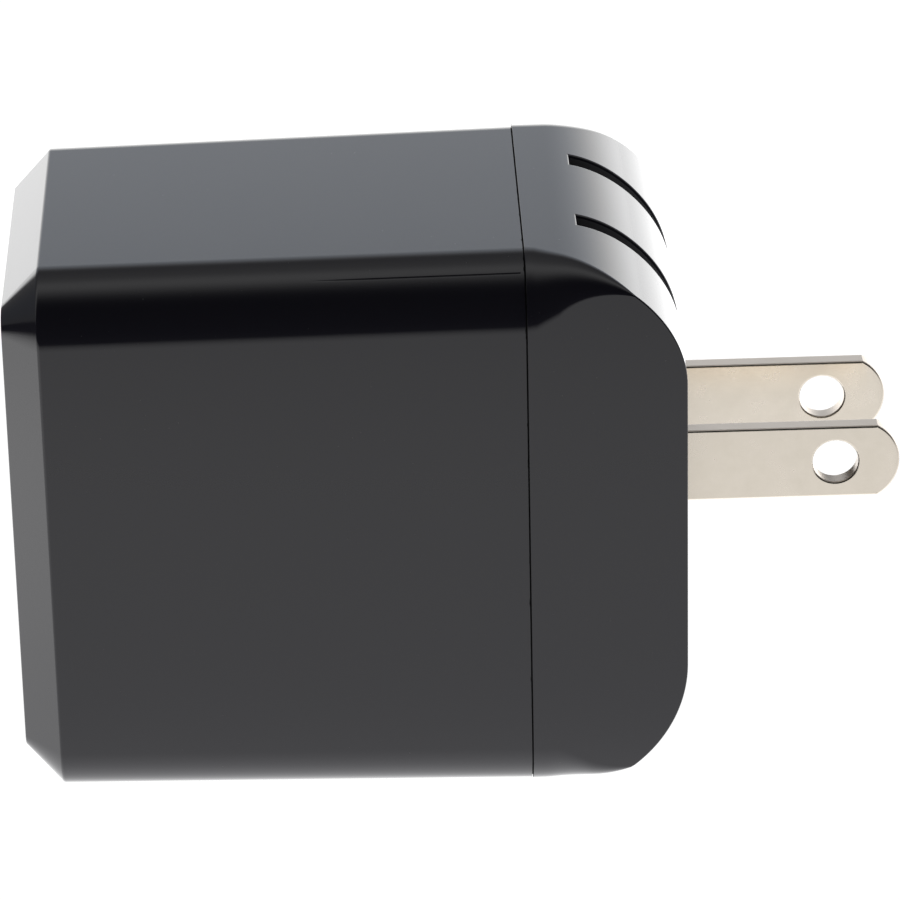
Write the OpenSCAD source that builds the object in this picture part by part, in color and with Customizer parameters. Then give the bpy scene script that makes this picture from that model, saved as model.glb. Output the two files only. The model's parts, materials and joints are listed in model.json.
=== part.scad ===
// Two-port USB wall charger with folding blades.
// +X runs out of the plug face towards the outlet, +Z is up, and the origin is on the plug face,
// midway between the two blades.

/* [Case] */
// Length from the plug face to the port face
case_len = 54.8; // [52:0.1:58]
// Width across the blades
case_w = 34.3; // [34:0.1:38]
// Height of the top face above the blades' centre line
case_up = 22.2; // [21.5:0.1:26]
// Depth of the bottom face below the blades' centre line
case_down = 25.1; // [24:0.1:28]
// Radius of the long edges
edge_r = 4.5; // [3:0.1:5]
// Wall thickness
wall = 1.8; // [1.4:0.1:2]
// Moulding draft of the main housing's top and bottom, in degrees
draft_up = 0.87; // [0:0.01:1]
// Moulding draft of the main housing's sides, in degrees
draft_side = 0.67; // [0:0.01:0.8]
// Length of the bevel round the port end
bevel_len = 3.1; // [2:0.1:3.5]
// How far the bevel steps in
bevel_in = 3.3; // [2:0.1:3.4]

/* [Plug-side cover] */
// Distance of the seam from the plug face
seam = 12.75; // [12:0.05:14]
// Gap that shows as the seam line
seam_gap = 0.12; // [0.05:0.01:0.3]
// How far the cover stands proud of the main housing
proud = 0.12; // [0:0.01:0.2]
// Radius of the top corner at the plug end
top_r = 10.2; // [9:0.1:10.5]
// Radius of the bottom corner at the plug end
bottom_r = 12; // [9:0.1:12]
// Distance from the plug face where the side fillets begin to fade
fade_from = 11.6; // [10.5:0.1:12]
// Distance from the plug face where the side fillets have faded out
fade_to = 4.3; // [3:0.1:6]
// Distance from the plug face where the blade slots end on the top
slot_back = 8.2; // [8:0.1:8.6]
// Width of a blade slot
slot_w = 2.05; // [1.9:0.05:2.3]

/* [Blades] */
// Distance between the blades' centres
blade_pitch = 12.7; // [12.7:0.1:12.8]
// Blade length beyond the plug face
blade_len = 18.2; // [15.9:0.1:18.3]
// Blade width
blade_w = 6.35; // [6.2:0.05:6.4]
// Blade thickness
blade_t = 1.5; // [1.4:0.02:1.55]
// Distance of the blade's hole from the plug face
hole_x = 12.9; // [11.5:0.1:13]
// Radius of the blade's hole
hole_r = 1.89; // [1.8:0.01:2]
// Radius of the blade's round tip
tip_r = 3.65; // [3.3:0.05:4.5]
// Distance of the folding axis behind the plug face
pivot_in = 4.6; // [4.5:0.05:4.7]
// Radius of the carrier
carrier_r = 3.1; // [2.9:0.05:3.15]
// Radius of the carrier's trunnions
trunnion_r = 1.5; // [1.2:0.05:1.6]
// Radial running clearance of the trunnions
run_gap = 0.05; // [0.02:0.01:0.1]

/* [Ports] */
// Width of the receptacle's opening
port_w = 12.5; // [12.5:0.05:12.6]
// Height of the receptacle's opening
port_h = 5.12; // [5.1:0.01:5.2]
// Distance between the two ports' centres
port_pitch = 13.6; // [12:0.1:15]
// Length of the receptacle's shell
shell_len = 13.6; // [13:0.1:14]
// Sheet thickness of the receptacle's shell
shell_t = 0.3; // [0.25:0.05:0.35]

/* [Boards] */
// Height of the main board's component face above the middle plane
board_y = 10.4; // [10:0.1:10.6]
// Thickness of the main board
board_t = 1.6; // [1.2:0.1:1.6]
// Bulk capacitor radius
bulk_r = 4.9; // [4:0.1:4.9]
// Bulk capacitor height
bulk_h = 17; // [12:0.5:20]
// Output capacitor radius
out_r = 3.1; // [2.5:0.1:3.1]
// Output capacitor height
out_h = 11.5; // [8:0.5:14]
// Width of the transformer's core across its legs
core_w = 19; // [17:0.5:19.5]
// Height of the transformer's core off the board
core_h = 16; // [14:0.5:17]

/* [Hidden] */
$fn = 48;

// Colours
case_col = "#3f4043";
blade_col = "#d6cbc0";
spring_col = "#c79a5b";
steel_col = "#b9bcc0";
board_col = "#1f5a3a";
black_col = "#1b1b1d";

thin = 0.01;                                  // slab that a hull is stretched over
side_y = blade_pitch / 2;                     // blade centre off the middle plane
port_z = (case_up - case_down) / 2;           // height of the ports' midpoint
cav_y = case_w / 2 - wall - 0.35;             // half width of the hollow
cav_top = case_up - wall - 0.6;               // top of the main housing's hollow
cav_bottom = -case_down + wall + 0.6;         // bottom of the main housing's hollow
cav_r = edge_r - wall;                        // corner radius of the hollow
port_wall = 2.0;                              // thickness of the port wall
face_wall = 1.6;                              // thickness of the plug wall
lip_len = 2.5;                                // length of the cover's lip in the housing
lip_t = 1.0;                                  // thickness of the lip

// Half width, top and bottom of the case at a place x (x is negative inside the case)
function back_of_seam(x) = max(0, -x - seam);
function half_w(x) = case_w / 2 - back_of_seam(x) * tan(draft_side);
function top_z(x) = case_up - back_of_seam(x) * tan(draft_up);
function bottom_z(x) = -case_down + back_of_seam(x) * tan(draft_up);

// Bevelled places and board places that several modules share
bevel_x = -case_len + bevel_len;              // where the port bevel starts
tail_end = -9.6;                              // inner end of the blade
neck_w = 4.4;                                 // width of the blade inside the carrier
shoulder_x = -1.3;                            // where the blade widens to its full width
lock_r = 0.9;                                 // hole that locks the blade into the carrier
carrier_half = 9.3;                           // half length of the carrier's body
trunnion_end = 11.9;                          // outer end of a trunnion
seat_in = 9.75;                               // inner side of a trunnion's seat
seat_out = 11.8;                              // outer side of a trunnion's seat
pocket_t = 1.0;                               // wall round a blade's pocket
pocket_z = 3.6;                               // lower end of the pocket walls
bar_top = -6.2;                               // top of the retainer's bar
bar_bottom = -9.0;                            // bottom of the retainer's bar
bar_front = -5.0;                             // face of the bar that meets the screw bosses
bar_half = 9.6;                               // half length of the thick bar
screw_y = 11.9;                               // retainer screws off the middle plane
screw_z = -7.9;                               // height of the retainer screws
ear_t = 1.6;                                  // thickness of the retainer's ears
ear_r = 1.8;                                  // half width of an ear and radius of a screw boss
strip_t = 0.3;                                // sheet thickness of the springs
strip_y = side_y + blade_t / 2 + 0.05;        // inner face of a contact spring
usb_board_x = -40.9;                          // port side of the small board
usb_board_t = 1.2;
shell_front = -case_len + 0.25;               // mouth of the receptacles
tongue_t = 1.84;
tongue_w = 11.1;
contact_ys = [-3.5, -1.0, 1.0, 3.5];          // the four contacts across a port

board_x0 = -50.4;                             // main board, port end
board_x1 = -17.0;                             // main board, plug end
board_z0 = cav_bottom + 0.35;
board_z1 = cav_top - 0.35;
lead_out = 1.0;                               // lead length past the solder side
lead_r = 0.3;
hole_gap = 0.15;                              // play of a lead in its hole

// Places on the main board as [x, z]
bulk_at = [[-22.4, -15.4], [-32.6, -15.4]];
out_at = [[-35.0, 14.4], [-28.4, 14.4], [-45.5, 14.0]];
core_at = [-27.0, 0.6];
disc_at = [-23.2, 14.6];
filter_at = [-19.6, 14.6];
safety_at = [-18.5, -4.5];
fuse_at = [-18.5, 6.0];
coil_at = [-44.6, -17.8];
rectifier_at = [-36.0, 1.0];
opto_at = [-38.0, -7.0];
ac_at = [[-22.3, -9.4], [-18.2, -9.6]];       // pads of the lead wires, left and right

// Lead places of the parts that stand on the main board
function pair_x(c, pitch) = [[c.x - pitch / 2, c.y], [c.x + pitch / 2, c.y]];
function pair_z(c, pitch) = [[c.x, c.y - pitch / 2], [c.x, c.y + pitch / 2]];
bobbin_pins = [for (i = [0:3]) for (s = [-1, 1]) [core_at.x - 4.5 + i * 3, core_at.y + s * 5]];
rectifier_pins = [for (i = [-1:1]) [rectifier_at.x, rectifier_at.y + i * 2.54]];
lead_holes = concat(
    [for (c = bulk_at) for (p = pair_x(c, 5)) p],
    [for (c = out_at) for (p = pair_x(c, 2.5)) p],
    bobbin_pins, rectifier_pins, pair_z(disc_at, 5), pair_x(filter_at, 2), pair_z(safety_at, 5),
    pair_z(fuse_at, 10), pair_x(coil_at, 10), ac_at);

// ---------- shared shapes ----------

// Rectangle with round corners, centred
module round_rect(w, h, r) {
    square([w - 2 * r, h], center = true);
    square([w, h - 2 * r], center = true);
    for (sx = [-1, 1], sy = [-1, 1])
        translate([sx * (w / 2 - r), sy * (h / 2 - r)]) circle(r);
}

// Box along X with round long edges, from x0 to x1, half width hy, from z0 to z1
module prism_x(x0, x1, hy, z0, z1, r) {
    translate([x0, 0, (z0 + z1) / 2]) rotate([90, 0, 90])
        linear_extrude(x1 - x0) round_rect(2 * hy, z1 - z0, r);
}

// Thin cross-section of the case at x, for a hull
module case_slab(x, inset, r) {
    prism_x(x, x + thin, half_w(x) - inset, bottom_z(x) + inset, top_z(x) - inset, max(r, 0.05), $fn = 32);
}

// Block between two corners
module block(a, b) {
    translate(a) cube(b - a);
}

// Side view drawn in X and Z, from y0 to y1
module side_plate(y0, y1) {
    translate([0, y1, 0]) rotate([90, 0, 0]) linear_extrude(y1 - y0) children();
}

// Bar of radius r along Y
module bar_y(x, z, y0, y1, r) {
    translate([x, y1, z]) rotate([90, 0, 0]) cylinder(h = y1 - y0, r = r);
}

// Side view of the cover, shrunk by t on its three outer sides
module cover_side(t) {
    x1 = -t;
    zt = case_up + proud - t;
    zb = -case_down - proud + t;
    difference() {
        translate([-seam - 5, zb]) square([seam + 5 + x1, zt - zb]);
        difference() {
            translate([x1 - (top_r - t), zt - (top_r - t)]) square(top_r);
            translate([x1 - (top_r - t), zt - (top_r - t)]) circle(top_r - t, $fn = 96);
        }
        difference() {
            translate([x1 - (bottom_r - t), zb + (bottom_r - t) - bottom_r]) square([bottom_r, bottom_r]);
            translate([x1 - (bottom_r - t), zb + (bottom_r - t)]) circle(bottom_r - t, $fn = 96);
        }
    }
}

// Stands its children on the main board's component face, with their +Z away from the board
module on_board(p) {
    translate([p.x, board_y, p.y]) rotate([90, 0, 0]) children();
}

// The same for the solder side
module under_board(p) {
    translate([p.x, board_y + board_t, p.y]) rotate([-90, 0, 0]) children();
}

// Leads that run down from a part through the main board, places counted from the part's centre c
module leads(c, places, h = 0.4) {
    for (p = places)
        translate([p.x - c.x, p.y - c.y, -board_t - lead_out])
            cylinder(h = board_t + lead_out + h, r = lead_r, $fn = 24);
}

// Can with a rolled groove near its base and a slightly sunk top
module can(r, h) {
    rotate_extrude($fn = 64) polygon([
        [0, 0.4], [r - 0.5, 0.4], [r - 0.1, 0.8], [r, 1.2], [r, 1.7], [r - 0.35, 2.1], [r - 0.35, 2.5],
        [r, 2.9], [r, h - 0.4], [r - 0.4, h], [r - 0.9, h], [r - 1.1, h - 0.25], [0, h - 0.25]]);
}

// ---------- case ----------

module port_places() {
    for (s = [-1, 1]) translate([0, 0, port_z + s * port_pitch / 2]) children();
}

module main_housing() {
    end_x = -seam - seam_gap;
    step_x = bevel_x + 1.2;
    color(case_col) difference() {
        hull() {
            case_slab(-case_len, bevel_in, edge_r - bevel_in);
            case_slab(bevel_x, 0, edge_r);
            case_slab(end_x - thin, 0, edge_r);
        }
        difference() {
            union() {
                prism_x(step_x, end_x + 1, cav_y, cav_bottom, cav_top, cav_r);
                prism_x(-case_len + port_wall, step_x + 1, cav_y - 2.2, cav_bottom + 2.2, cav_top - 2.2, 1);
            }
            // Rails for the main board's two edges
            for (y = [board_y - 1.2, board_y + board_t + 0.1], z = [cav_bottom - 1, cav_top - 1.3])
                block([step_x - 1, y, z], [board_x1, y + 1.1, z + 2.3]);
            // Seats that hold the small board's lower and upper edge
            for (z = [port_z - port_pitch - 0.9, port_z + port_pitch - 0.1], x = [usb_board_x - 1.2, usb_board_x + usb_board_t + 0.1])
                block([x, -cav_y - 1, z], [x + 1.1, -8, z + 1]);
        }
        port_places() prism_x(-case_len - 1, -case_len + port_wall + 1,
                              port_w / 2 + shell_t + 0.1, -port_h / 2 - shell_t - 0.1,
                              port_h / 2 + shell_t + 0.1, 0.5);
    }
}

module pocket_block(s) {
    block([-slot_back - pocket_t, s * side_y - slot_w / 2 - pocket_t, pocket_z],
          [-face_wall + 0.5, s * side_y + slot_w / 2 + pocket_t, case_up]);
}

module rear_cover() {
    pivot = [-pivot_in, 0];
    color(case_col) difference() {
        union() {
            intersection() {
                union() {
                    cover_hull(-seam, -fade_from, edge_r, edge_r);
                    cover_hull(-fade_from, -fade_to, edge_r, 0);
                    cover_hull(-fade_to, 0, 0, 0);
                }
                side_plate(-case_w, case_w) cover_side(0);
                difference() {
                    block([-seam, -case_w, -2 * case_down], [1, case_w, 2 * case_up]);
                    intersection() {
                        prism_x(-seam - 1, -face_wall, cav_y + 0.2, -case_down + wall, case_up - wall, cav_r);
                        side_plate(-case_w, case_w) cover_side(wall);
                    }
                }
            }
            // Lip that enters the main housing
            difference() {
                prism_x(-seam - lip_len, -seam + 1, cav_y - 0.1, cav_bottom + 0.1, cav_top - 0.1, cav_r);
                prism_x(-seam - lip_len - 1, -seam + 2, cav_y - 0.1 - lip_t, cav_bottom + 0.1 + lip_t,
                        cav_top - 0.1 - lip_t, cav_r - lip_t);
            }
            lip_root();
            intersection() {
                for (s = [-1, 1]) pocket_block(s);
                side_plate(-case_w, case_w) cover_side(0.8);
            }
            // Front halves of the trunnion seats
            for (s = [0, 1]) mirror([0, s, 0])
                block([-pivot_in, seat_in, -3.2], [-face_wall + 0.5, seat_out, 3.2]);
            // Screw bosses
            for (s = [-1, 1]) translate([bar_front, s * screw_y, screw_z]) rotate([0, 90, 0])
                cylinder(h = -bar_front - face_wall + 0.5, r = ear_r);
        }
        // Blade slots through the plug wall and the rounded corner
        for (s = [-1, 1])
            block([-slot_back, s * side_y - slot_w / 2, -blade_w / 2 - 0.25],
                  [1, s * side_y + slot_w / 2, case_up + 5]);
        // Room for the carrier, and the trunnions' bearing
        bar_y(pivot.x, 0, -seat_in + 0.15, seat_in - 0.15, carrier_r + 0.2);
        bar_y(pivot.x, 0, -trunnion_end - 0.3, trunnion_end + 0.3, trunnion_r + run_gap);
        for (s = [-1, 1]) translate([bar_front - 0.1, s * screw_y, screw_z]) rotate([0, 90, 0])
            cylinder(h = 3.2, r = 0.8);
    }
}

// Ring that joins the lip to the cover's wall
module lip_root() {
    difference() {
        prism_x(-seam, -seam + 1, cav_y + 1, cav_bottom - 1, cav_top + 1, cav_r);
        prism_x(-seam - 1, -seam + 2, cav_y - 0.1 - lip_t, cav_bottom + 0.1 + lip_t,
                cav_top - 0.1 - lip_t, cav_r - lip_t);
    }
}

// Stretch of the cover between two cross-sections whose edge radii differ
module cover_hull(x0, x1, r0, r1) {
    hull() {
        cover_slab(x0, r0);
        cover_slab(x1 - thin, r1);
    }
}

// Thin cross-section of the cover at x
module cover_slab(x, r) {
    prism_x(x, x + thin, case_w / 2 + proud, -case_down - proud, case_up + proud, max(r, 0.05), $fn = 32);
}

// ---------- folding plug ----------

// Side view of a blade, with its neck, lock hole and rounded tip
module blade_outline() {
    difference() {
        union() {
            translate([tail_end + 0.6, -neck_w / 2]) square([shoulder_x - tail_end, neck_w]);
            translate([tail_end, -neck_w / 2 + 0.6]) square([1, neck_w - 1.2]);
            for (s = [-1, 1]) translate([tail_end + 0.6, s * (neck_w / 2 - 0.6)]) circle(0.6);
            translate([shoulder_x, -blade_w / 2]) square([blade_len - shoulder_x - tip_r, blade_w]);
            intersection() {
                translate([blade_len - tip_r - 1, -blade_w / 2]) square([tip_r + 1, blade_w]);
                translate([blade_len - tip_r, 0]) circle(tip_r);
            }
            tip_side = sqrt(tip_r * tip_r - blade_w * blade_w / 4);
            translate([blade_len - tip_r - 1, -blade_w / 2]) square([tip_side + 1, blade_w]);
        }
        translate([hole_x, 0]) circle(hole_r);
        translate([-pivot_in, 0]) circle(lock_r);
    }
}

// Blade centred on the middle plane, its tip thinned on both faces
module blade() {
    thin_x = 1.4;
    thin_y = 0.06;
    intersection() {
        side_plate(-blade_t / 2, blade_t / 2) blade_outline();
        translate([0, 0, -blade_w]) linear_extrude(2 * blade_w) polygon([
            [tail_end - 1, -blade_t], [blade_len - thin_x, -blade_t], [blade_len - thin_x, -blade_t / 2],
            [blade_len, -blade_t / 2 + thin_y], [blade_len, blade_t / 2 - thin_y],
            [blade_len - thin_x, blade_t / 2], [blade_len - thin_x, blade_t], [tail_end - 1, blade_t]]);
    }
}

module blade_left() {
    color(blade_col) translate([0, -side_y, 0]) blade();
}

module blade_right() {
    color(blade_col) translate([0, side_y, 0]) blade();
}

module blade_carrier() {
    flat = 0.2;
    color(black_col) difference() {
        union() {
            difference() {
                bar_y(-pivot_in, 0, -carrier_half, carrier_half, carrier_r);
                // Flats that the detent spring meets when the blades are open and folded
                block([-pivot_in - 5, -carrier_half - 1, -5], [-pivot_in - carrier_r + flat, carrier_half + 1, 5]);
                block([-pivot_in - 5, -carrier_half - 1, carrier_r - flat], [-pivot_in + 5, carrier_half + 1, 5]);
            }
            bar_y(-pivot_in, 0, -trunnion_end, trunnion_end, trunnion_r);
        }
        for (s = [-1, 1]) translate([0, s * side_y, 0]) blade();
    }
}

module carrier_retainer() {
    back = -9.8;
    color("#d9d6cd") difference() {
        union() {
            block([back, -bar_half, bar_bottom], [bar_front, bar_half, bar_top]);
            for (s = [0, 1]) mirror([0, s, 0]) {
                // Ear for the screw, which also carries the back half of a trunnion's seat
                block([bar_front - ear_t, bar_half - 0.5, screw_z - ear_r],
                      [bar_front, screw_y + ear_r, -3.5]);
                block([-pivot_in - 3.8, seat_in, -4], [-pivot_in, seat_out, 3.2]);
            }
            // Post behind the carrier for the detent spring
            block([-10.4, -3.4, bar_bottom], [-9.1, 3.4, 3.2]);
        }
        bar_y(-pivot_in, 0, -trunnion_end - 0.3, trunnion_end + 0.3, trunnion_r + run_gap);
        for (s = [-1, 1]) {
            translate([bar_front - 5, s * screw_y, screw_z]) rotate([0, 90, 0]) cylinder(h = 6, r = 1.05);
            contact_slot(s);
        }
        block([-9.1 - strip_t, -3, -5.6], [-9, 3, -3.5]);
        block([-9.1 - strip_t, -3, 1.5], [-9, 3, 3.3]);
    }
}

// Slot in the retainer that grips a contact spring
module contact_slot(s) {
    y0 = s > 0 ? strip_y : -strip_y - strip_t;
    block([tail_end, y0, bar_bottom - 1], [tail_end + 1.6, y0 + strip_t, bar_top + 1]);
}

module retainer_screws() {
    head_t = 1.1;
    color(steel_col) for (s = [-1, 1])
        translate([bar_front - ear_t - head_t, s * screw_y, screw_z]) rotate([0, 90, 0]) difference() {
            union() {
                rotate_extrude() polygon([
                    [0, 0], [1.3, 0], [1.75, 0.35], [1.9, 0.8], [1.9, head_t], [0, head_t]]);
                cylinder(h = head_t + ear_t, r = 0.98);
                cylinder(h = head_t + ear_t + 3, r = 0.8);
            }
            for (a = [0, 90]) rotate([0, 0, a]) translate([0, 0, 0.2])
                cube([2.2, 0.5, 0.9], center = true);
        }
}

// Hat-shaped strip: its feet sit in the retainer's post and its middle meets the carrier's flat
module detent_spring() {
    foot_x = -9.1;
    top_x = -pivot_in - carrier_r - 0.08;
    color(steel_col) side_plate(-3, 3) polygon([
        [foot_x, -5.5], [foot_x, -4.3], [top_x, -1.9], [top_x, 0.9], [foot_x, 2.0], [foot_x, 3.1],
        [foot_x - strip_t, 3.1], [foot_x - strip_t, 1.85], [top_x - strip_t, 0.7],
        [top_x - strip_t, -1.75], [foot_x - strip_t, -4.15], [foot_x - strip_t, -5.5]]);
}

module contact_spring(s) {
    y0 = s > 0 ? strip_y : -strip_y - strip_t;
    y1 = y0 + strip_t;
    tab_z = -13;
    color(spring_col) difference() {
        union() {
            block([tail_end, y0, -12], [tail_end + 1.6, y1, 1.6]);
            // Solder tab, bent flat
            block([tail_end, min(y0, y0 + s * 2.6), tab_z], [tail_end + strip_t, max(y1, y1 + s * 2.6), -10]);
        }
        translate([tail_end - 1, (y0 + y1) / 2 + s * 1.5, tab_z + 1.5]) rotate([0, 90, 0])
            cylinder(h = 3, r = 0.5);
    }
}

module contact_spring_left() {
    contact_spring(-1);
}

module contact_spring_right() {
    contact_spring(1);
}

// ---------- lead wires ----------

wire_r = 0.75;
wire_sides = 8;
wire_steps = 24;
tab_wire_y = strip_y + strip_t / 2 + 1.5;
left_route = [[tail_end - 0.9, -tab_wire_y, -11.5], [-14, -tab_wire_y, -11], [-20, -10, -9.3],
              [ac_at[0].x, -9, ac_at[0].y], [ac_at[0].x, -2, ac_at[0].y],
              [ac_at[0].x, board_y - 0.6, ac_at[0].y]];
right_route = [[tail_end - 0.9, tab_wire_y, -11.5], [-14, tab_wire_y, -12], [-16, 6, -11],
               [ac_at[1].x, 5, ac_at[1].y], [ac_at[1].x, board_y - 0.6, ac_at[1].y]];

// Point of the smooth curve that a row of control points pulls along, u from 0 to 1
function blend_row(p, u) = len(p) == 1 ? p[0]
    : blend_row([for (i = [0:len(p) - 2]) p[i] * (1 - u) + p[i + 1] * u], u);
function unit(v) = v / norm(v);

// Round wire along a curve
module wire(route, r) {
    path = [for (i = [0:wire_steps]) blend_row(route, i / wire_steps)];
    ring = [for (i = [0:wire_steps])
        let (along = unit(path[min(i + 1, wire_steps)] - path[max(i - 1, 0)]),
             across = unit(cross(along, [0.31, -0.37, 0.88])),
             up = cross(along, across))
        [for (k = [0:wire_sides - 1])
            path[i] + r * (across * cos(k * 360 / wire_sides) + up * sin(k * 360 / wire_sides))]];
    points = [for (row = ring) for (p = row) p];
    last = wire_steps * wire_sides;
    polyhedron(points, concat(
        [[for (k = [0:wire_sides - 1]) k]],
        [for (i = [0:wire_steps - 1], k = [0:wire_sides - 1])
            let (a = i * wire_sides, b = a + wire_sides, n = (k + 1) % wire_sides)
            for (face = [[a + k, b + k, b + n], [a + k, b + n, a + n]]) face],
        [[for (k = [wire_sides - 1:-1:0]) last + k]]));
}

module lead_wire_left() {
    color("#20242b") wire(left_route, wire_r);
}

module lead_wire_right() {
    color("#d8d8d4") wire(right_route, wire_r);
}

// ---------- boards ----------

module main_board() {
    color(board_col) difference() {
        block([board_x0, board_y, board_z0], [board_x1, board_y + board_t, board_z1]);
        for (p = lead_holes) translate([p.x, board_y + board_t + 1, p.y]) rotate([90, 0, 0])
            cylinder(h = board_t + 2, r = lead_r + hole_gap, $fn = 24);
    }
}

usb_board_z = [port_z - port_pitch, port_z + port_pitch];
link_zs = [for (i = [-2:2]) port_z + i * 2];

module usb_board() {
    color(board_col) difference() {
        block([usb_board_x, -cav_y + 0.3, usb_board_z[0]],
              [usb_board_x + usb_board_t, board_y - 0.15, usb_board_z[1]]);
        port_places() for (y = contact_ys) translate([usb_board_x - 1, y, 0.15]) rotate([0, 90, 0])
            cylinder(h = usb_board_t + 2, r = 0.45, $fn = 24);
    }
}

// Angled pins that join the small board to the main board's copper
module board_link_pins() {
    pin = 0.6;
    x0 = usb_board_x + usb_board_t;
    color("#d8b25a") for (z = link_zs) {
        block([x0, board_y - 3.4, z - pin / 2], [x0 + 1.1, board_y - 3.4 + pin, z + pin / 2]);
        block([x0 + 1.1 - pin, board_y - 3.4 + pin, z - pin / 2], [x0 + 1.1, board_y, z + pin / 2]);
    }
}

// ---------- receptacles ----------

module usb_shell(s) {
    w = port_w + 2 * shell_t;
    h = port_h + 2 * shell_t;
    color(steel_col) translate([shell_front, 0, port_z + s * port_pitch / 2]) rotate([90, 0, 90])
        difference() {
            linear_extrude(shell_len) difference() {
                round_rect(w, h, 0.6);
                round_rect(port_w, port_h, 0.35);
            }
            // Cuts that free two gripping tongues on each wide side
            for (sx = [-1, 1], sy = [-1, 1]) translate([sx * 3.2, sy * h / 2, 0]) {
                for (e = [-1.2, 0.9]) translate([e, -1, 3]) cube([0.3, 2, 5.5]);
                translate([-1.2, -1, 3]) cube([2.4, 2, 0.3]);
            }
        }
}

module usb_shell_upper() {
    usb_shell(1);
}

module usb_shell_lower() {
    usb_shell(-1);
}

// Insulator: a base block in the shell's back and the tongue that carries the contacts
module usb_tongue(s) {
    tip = 1.2;
    base = 2.6;
    color(black_col) translate([shell_front, 0, port_z + s * port_pitch / 2]) rotate([90, 0, 90]) {
        difference() {
            translate([-tongue_w / 2, 0, tip]) cube([tongue_w, tongue_t, shell_len - base - tip]);
            for (x = contact_ys) translate([x - 0.5, -1, tip + 0.6])
                cube([1, 1.3, shell_len - base - tip]);
            translate([0, 0, tip]) rotate([45, 0, 0]) cube([2 * tongue_w, 0.5, 0.5], center = true);
        }
        difference() {
            translate([0, 0, shell_len - base]) linear_extrude(base) round_rect(port_w, port_h, 0.35);
            for (x = contact_ys) translate([x - 0.5, 0, shell_len - base - 1]) cube([1, 0.3, base + 2]);
        }
    }
}

module usb_tongue_upper() {
    usb_tongue(1);
}

module usb_tongue_lower() {
    usb_tongue(-1);
}

// Four strips along the tongue that run back through the base and the small board
module usb_contacts(s) {
    color("#d8b25a") translate([shell_front, 0, port_z + s * port_pitch / 2]) rotate([90, 0, 90])
        for (x = contact_ys) {
            translate([x - 0.5, 0, 1.8]) cube([1, 0.3, shell_len - 1.8]);
            translate([x - 0.3, 0, shell_len]) cube([0.6, 0.3, usb_board_x - shell_front - shell_len + usb_board_t + 0.8]);
        }
}

module usb_contacts_upper() {
    usb_contacts(1);
}

module usb_contacts_lower() {
    usb_contacts(-1);
}

// ---------- transformer ----------

core_t = 6;
core_leg = 2.8;
core_mid = 6;
base_h = 2.2;                                 // pin base of the bobbin, under the core
window_w = (core_w - 2 * core_leg - core_mid) / 2;
spool_t = 0.7;

module transformer_core() {
    color("#3a3a3e") translate([core_at.x - core_t / 2, 0, core_at.y]) difference() {
        block([0, board_y - base_h - core_h, -core_w / 2], [core_t, board_y - base_h, core_w / 2]);
        for (s = [-1, 1]) {
            z = s * (core_mid + window_w) / 2;
            block([-1, board_y - base_h - core_h + core_leg, z - window_w / 2],
                  [core_t + 1, board_y - base_h - core_leg, z + window_w / 2]);
        }
    }
}

// Rectangular tube round the core's middle leg, of outer sizes a by a, from height h0 to h1 off the board
module core_ring(a, hole, r, h0, h1) {
    on_board(core_at) translate([0, 0, h0]) linear_extrude(h1 - h0) difference() {
        round_rect(a, a, r);
        round_rect(hole, hole, 0.3);
    }
}

win_low = base_h + core_leg;                  // window's end near the board
win_high = base_h + core_h - core_leg;        // window's far end
spool_w = core_mid + 2 * spool_t + 0.2;       // outside of the bobbin's tube
flange_w = core_mid + 2 * window_w - 0.2;

module transformer_bobbin() {
    color("#2a2622") {
        core_ring(spool_w, core_mid + 0.2, 0.8, win_low + 0.1, win_high - 0.1);
        for (h = [win_low + 0.1, win_high - 0.1 - spool_t])
            core_ring(flange_w, core_mid + 0.2, 1, h, h + spool_t);
        // Pin base under the core, tied to the lower flange on both sides of the core
        on_board(core_at) {
            translate([-6.8, -6.6, 0]) cube([13.6, 13.2, base_h]);
            for (s = [0, 1]) mirror([s, 0, 0]) translate([core_t / 2 + 0.1, -4, 0])
                cube([2.4, 8, win_low + 0.5]);
            leads(core_at, bobbin_pins);
        }
    }
}

module transformer_windings() {
    color("#b5652d") core_ring(flange_w - 1.0, spool_w, 2, win_low + 0.1 + spool_t, win_high - 0.1 - spool_t);
}

module transformer_tape() {
    color("#d9b33c") core_ring_round(flange_w - 0.4, flange_w - 1.0, 2.3, 2,
                                     win_low + 0.3 + spool_t, win_high - 0.3 - spool_t);
}

// The same tube with a rounder hole, for the tape
module core_ring_round(a, hole, r, hole_r, h0, h1) {
    on_board(core_at) translate([0, 0, h0]) linear_extrude(h1 - h0) difference() {
        round_rect(a, a, r);
        round_rect(hole, hole, hole_r);
    }
}

// ---------- parts that stand on the main board ----------

module bulk_capacitor(i) {
    color("#23262c") on_board(bulk_at[i]) {
        can(bulk_r, bulk_h);
        leads(bulk_at[i], pair_x(bulk_at[i], 5), 0.8);
    }
}

module bulk_capacitor_1() {
    bulk_capacitor(0);
}

module bulk_capacitor_2() {
    bulk_capacitor(1);
}

module output_capacitor(i) {
    color("#2b3f6b") on_board(out_at[i]) {
        can(out_r, out_h);
        leads(out_at[i], pair_x(out_at[i], 2.5), 0.8);
    }
}

module output_capacitor_1() {
    output_capacitor(0);
}

module output_capacitor_2() {
    output_capacitor(1);
}

module output_capacitor_3() {
    output_capacitor(2);
}

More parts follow.
